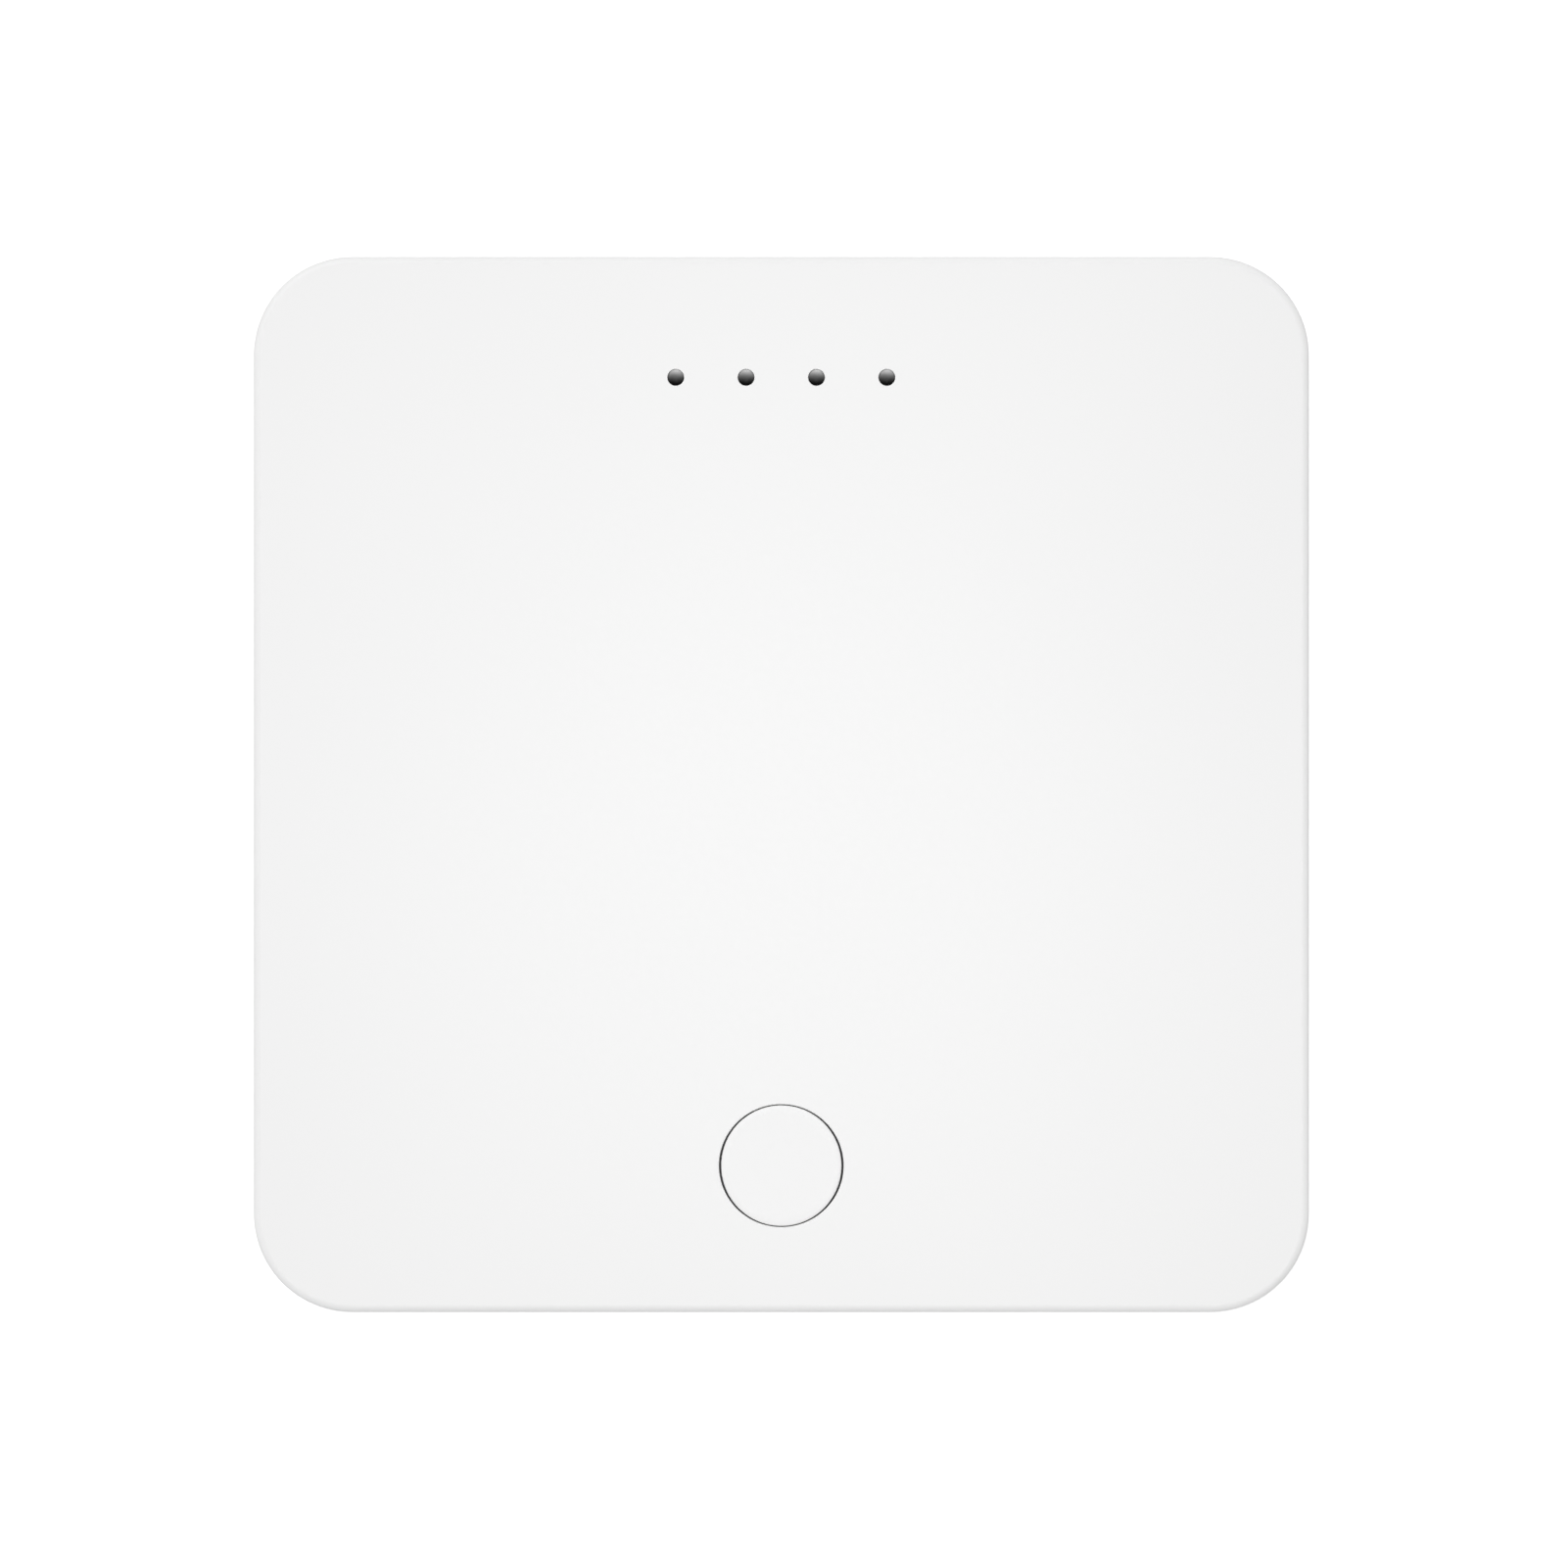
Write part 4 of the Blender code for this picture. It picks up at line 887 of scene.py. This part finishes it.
def make_leads():
    """The chips' leads: each call ends with how many a side has, their pitch and their width."""
    right, rear, left, front = (i * math.pi / 2 for i in range(4))
    bm = bmesh.new()
    for side in (right, rear, left, front):
        add_leads(bm, "main_processor", side, 25, 0.50 * MM, 0.22 * MM)
    for side in (right, left):
        add_leads(bm, "memory_chip", side, 27, 0.80 * MM, 0.32 * MM)
    for side in (rear, front):
        add_leads(bm, "flash_chip", side, 4, 1.27 * MM, 0.42 * MM)
        add_leads(bm, "ethernet_transformer", side, 8, 1.27 * MM, 0.50 * MM)
    add_leads(bm, "voltage_regulator", front, 3, 2.3 * MM, 0.70 * MM)
    add_leads(bm, "voltage_regulator", rear, 1, 1.0 * MM, 3.00 * MM)
    finish_parts(bm, "chip_leads", TIN, "tinned_sheet")


def make_passives():
    """Rows of small resistors and capacitors, each a ceramic body with two soldered ends."""
    # Middle of the row and pitch in millimetres: (x, y, count, pitch, whether the row runs along X)
    rows = [
        (0.0, -10.9, 7, 1.6, True),
        (-10.2, -1.0, 7, 1.6, False),
        (10.6, -1.0, 8, 1.7, False),
        (18.8, 23.0, 4, 1.8, False),
        (-23.5, 22.0, 7, 1.6, True),
        (0.0, 31.6, 4, 6.0, True),
        (24.5, 36.0, 5, 1.8, True),
        (3.0, -23.5, 5, 1.8, True),
        (-15.0, -16.0, 4, 1.7, False),
    ]
    length, width, height, end, lift = 1.6 * MM, 0.8 * MM, 0.5 * MM, 0.32 * MM, 0.02 * MM
    axes = Vector((1.0, 0.0, 0.0)), Vector((0.0, 1.0, 0.0))
    bodies, ends = bmesh.new(), bmesh.new()
    for x, y, count, pitch, along_x in rows:
        along, across = axes if along_x else axes[::-1]
        body_size = Vector((width, width, height * 0.94)) + across * (length - 2 * end - width)
        end_size = Vector((width, width, height)) + across * (end - width)
        row_middle = Vector((x * MM, y * MM, BOARD_TOP + lift + height / 2))
        for offset in row(count, pitch * MM):
            centre = row_middle + along * offset
            add_brick(bodies, centre, body_size, 0.04 * MM)
            for side in (-1, 1):
                add_brick(ends, centre + across * (side * (length - end) / 2), end_size, 0.06 * MM)
    finish_parts(bodies, "passive_bodies", CERAMIC, "chip_epoxy")
    finish_parts(ends, "passive_ends", SOLDER, "tinned_sheet")


def make_antenna():
    """The radio board's meander antenna, and the solder pads along its edges."""
    low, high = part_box("radio_board")
    strip, sheet, pitch, bars = 0.5 * MM, 0.04 * MM, 1.1 * MM, 11
    near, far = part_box("radio_shield")[0].x - 1.1 * MM, low.x + 0.9 * MM
    middle_y = (low.y + high.y) / 2
    path = []
    for i, offset in enumerate(row(bars, pitch)):
        ends = (far, near) if i % 2 else (near, far)
        path += [Vector((x, middle_y + offset)) for x in ends]
    left, right = [], []
    for i, point in enumerate(path):
        before = [point - path[i - 1]] if i else []
        after = [path[i + 1] - point] if i < len(path) - 1 else []
        turns = [Vector((-run.y, run.x)).normalized() for run in before + after]
        shift = sum(turns, Vector((0.0, 0.0))) * strip / 2
        left.append(tuple(point + shift))
        right.append(tuple(point - shift))
    bm = bmesh.new()
    add_prism(bm, left + right[::-1], Matrix.Translation((0.0, 0.0, high.z + sheet / 2)), sheet)
    pads, pad_pitch, pads_shift, pad_lift = 11, 1.5 * MM, 1.5 * MM, 0.03 * MM
    pad_size = Vector((0.8 * MM, 0.7 * MM, high.z - BOARD_TOP))
    pads_x, pad_z = (low.x + high.x) / 2 + pads_shift, (BOARD_TOP + high.z) / 2 + pad_lift
    for y in (low.y, high.y):
        for offset in row(pads, pad_pitch):
            add_brick(bm, Vector((pads_x + offset, y, pad_z)), pad_size, 0.08 * MM)
    finish_parts(bm, "radio_contacts", GOLD, "gold")


# ---- CAD nodes that keep their shape -----------------------------------------------------------
def dress(node, material, bevel):
    """Gives a CAD node a material, softens its edges and smooths its round faces."""
    obj = NODES[node]
    obj.material_slots[0].material = material
    weld = obj.modifiers.new("weld", "WELD")
    weld.merge_threshold = 1e-6
    edges = obj.modifiers.new("edges", "BEVEL")
    edges.width = bevel
    edges.segments = 2
    edges.limit_method = "ANGLE"
    edges.angle_limit = SHARP
    shade(obj)


def dress_inside():
    """Gives every carried-over node its material and the width of its rounded edges."""
    for i in range(1, 5):
        dress(f"case_screw_{i}", ZINC, 0.05 * MM)
        dress(f"board_screw_{i}", ZINC, 0.05 * MM)
        dress(f"status_led_{i}", LED_RESIN, 0.1 * MM)
    dress("main_board", MASK, 0.08 * MM)
    dress("radio_board", MASK, 0.05 * MM)
    for chip in ("main_processor", "memory_chip", "flash_chip"):
        dress(chip, EPOXY, 0.12 * MM)
    dress("ethernet_transformer", EPOXY, 0.12 * MM)
    dress("voltage_regulator", EPOXY, 0.12 * MM)
    dress("power_inductor", BLACK, 0.25 * MM)
    dress("clock_crystal", CAN, 0.3 * MM)
    dress("bulk_capacitor_1", CAN, 0.15 * MM)
    dress("bulk_capacitor_2", CAN, 0.15 * MM)
    dress("radio_shield", TIN, 0.06 * MM)
    dress("light_pipe_holder", BLACK, 0.1 * MM)
    dress("switch_base", BLACK, 0.06 * MM)
    dress("switch_plunger", BLACK, 0.05 * MM)
    dress("switch_frame", TIN, 0.05 * MM)


# ---- Studio ------------------------------------------------------------------------------------
FRAME_FILL = 0.6733  # the case's share of the picture's width
OFF_CENTRE = Vector((0.23 * MM, 0.04 * MM, 0.0))
HORIZON, ZENITH = 0.90, 0.40  # the dome's strength
FLOOR_HALF = 6.0
FLOOR_GAP = 0.02 * MM
FLOOR_GLOW = 0.53
# The floor's colour under the case, which is a painted shadow, and its pale colour elsewhere
FLOOR_PAINTED_SHADOW, FLOOR_PALE = 0.15, 0.82
SHADE_FROM, SHADE_TO = -3.5 * MM, 0.6 * MM  # where the painted shadow under the case gives way to the pale floor, from the case's outline


def make_camera():
    """A long lens straight above the hub, almost without perspective."""
    camera = bpy.data.cameras.new("camera")
    camera.lens = 300.0
    camera.clip_end = 20.0
    distance = SIDE / FRAME_FILL * camera.lens / camera.sensor_width
    obj = bpy.data.objects.new("camera", camera)
    obj.location = OFF_CENTRE + Vector((0.0, 0.0, TOP_Z + distance))
    bpy.context.scene.collection.objects.link(obj)
    bpy.context.scene.camera = obj


def softbox(name, place, target, side, power):
    """A square area light that the camera doesn't see."""
    light = bpy.data.lights.new(name, "AREA")
    light.shape = "SQUARE"
    light.size = side
    light.energy = power
    obj = bpy.data.objects.new(name, light)
    bpy.context.scene.collection.objects.link(obj)
    obj.location = place
    obj.rotation_euler = (Vector(target) - Vector(place)).to_track_quat("-Z", "Y").to_euler()
    obj.visible_camera = False


def make_world():
    """White to the camera, and a soft dome of light, brighter at the horizon, to everything else."""
    world = bpy.data.worlds.new("studio")
    bpy.context.scene.world = world
    world.use_nodes = True
    nodes, links = world.node_tree.nodes, world.node_tree.links
    background = nodes["Background"]
    background.inputs["Color"].default_value = (1.0, 1.0, 1.0, 1.0)
    direction = nodes.new("ShaderNodeSeparateXYZ")
    links.new(nodes.new("ShaderNodeTexCoord").outputs["Generated"], direction.inputs[0])
    dome = nodes.new("ShaderNodeMapRange")
    dome.inputs["To Min"].default_value = HORIZON
    dome.inputs["To Max"].default_value = ZENITH
    links.new(direction.outputs["Z"], dome.inputs["Value"])
    rays = nodes.new("ShaderNodeLightPath")
    level = nodes.new("ShaderNodeMix")
    level.inputs["B"].default_value = 1.0
    links.new(rays.outputs["Is Camera Ray"], level.inputs["Factor"])
    links.new(dome.outputs["Result"], level.inputs["A"])
    links.new(level.outputs["Result"], background.inputs["Strength"])


def make_floor():
    """A pale floor, white to the camera, with a painted shadow under the case, and clear from below and to
    lights.
    """
    recipe = Recipe("pale_floor", (FLOOR_PALE, FLOOR_PALE, FLOOR_PALE), 0.9, Specular_IOR_Level=0.0)
    recipe.set("Emission Color", (1.0, 1.0, 1.0, 1.0))
    nodes, links = recipe.nodes, recipe.links
    outside = distance_outside(recipe)

    def painted_shadow_fade(low, high):
        node = nodes.new("ShaderNodeMapRange")
        node.interpolation_type = "SMOOTHSTEP"
        node.inputs["From Min"].default_value = SHADE_FROM
        node.inputs["From Max"].default_value = SHADE_TO
        node.inputs["To Min"].default_value = low
        node.inputs["To Max"].default_value = high
        links.new(outside, node.inputs["Value"])
        return node.outputs["Result"]

    # Painted shadow: under the case the floor's colour darkens and its glow to the camera goes out
    recipe.colour(painted_shadow_fade(FLOOR_PAINTED_SHADOW, FLOOR_PALE))
    rays = nodes.new("ShaderNodeLightPath").outputs
    seen = recipe.maths("MULTIPLY", painted_shadow_fade(0.0, FLOOR_GLOW), rays["Is Camera Ray"])
    links.new(seen, recipe.shader.inputs["Emission Strength"])
    clear = nodes.new("ShaderNodeBsdfTransparent")
    side = nodes.new("ShaderNodeNewGeometry")
    mix = nodes.new("ShaderNodeMixShader")
    links.new(recipe.maths("MAXIMUM", side.outputs["Backfacing"], rays["Is Shadow Ray"]), mix.inputs[0])
    links.new(recipe.shader.outputs[0], mix.inputs[1])
    links.new(clear.outputs[0], mix.inputs[2])
    links.new(mix.outputs[0], nodes["Material Output"].inputs["Surface"])
    bm = bmesh.new()
    bmesh.ops.create_grid(bm, x_segments=1, y_segments=1, size=FLOOR_HALF)
    mesh = bpy.data.meshes.new("floor")
    bm.to_mesh(mesh)
    bm.free()
    new_object("floor", mesh, recipe.material, (0.0, 0.0, -FLOOR_GAP))


def distance_outside(recipe):
    """How far a point lies outside the case's rounded outline, below zero inside it."""

    def vector(operation, first, second=None):
        node = recipe.nodes.new("ShaderNodeVectorMath")
        node.operation = operation
        for socket, value in zip(node.inputs, (first, second)):
            if isinstance(value, tuple):
                socket.default_value = value
            elif value is not None:
                recipe.links.new(value, socket)
        return node.outputs["Value" if operation == "LENGTH" else "Vector"]

    flat = HALF - CORNER
    beyond = vector("SUBTRACT", vector("ABSOLUTE", recipe.place), (flat, flat, 1.0))
    length = vector("LENGTH", vector("MAXIMUM", beyond, (0.0, 0.0, 0.0)))
    return recipe.maths("SUBTRACT", length, CORNER)


def make_lights():
    """Light from below, a key light from the rear left, and a faint glow on the top's middle."""
    base, top_middle = (0.0, 0.0, 0.0), (0.0, 0.0, TOP_Z)
    softbox("from_below", place=(0.0, 0.0, -1.2), target=base, side=0.6, power=7.5)
    softbox("key", place=(-0.60, 0.88, 1.50), target=top_middle, side=0.9, power=9.4)
    softbox("overhead", place=(0.0, -0.004, 0.30), target=top_middle, side=0.08, power=0.205)


make_camera()
make_world()
make_floor()
make_lights()
make_top_shell()
make_bottom_shell()
make_button()
make_feet()
make_label()
make_light_pipes()
make_snap_dome()
make_jack_shield()
make_jack_insert()
make_jack_lamps()
make_jack_contacts()
make_usb_socket()
make_leads()
make_passives()
make_antenna()
dress_inside()

bpy.context.scene.view_settings.view_transform = "Standard"
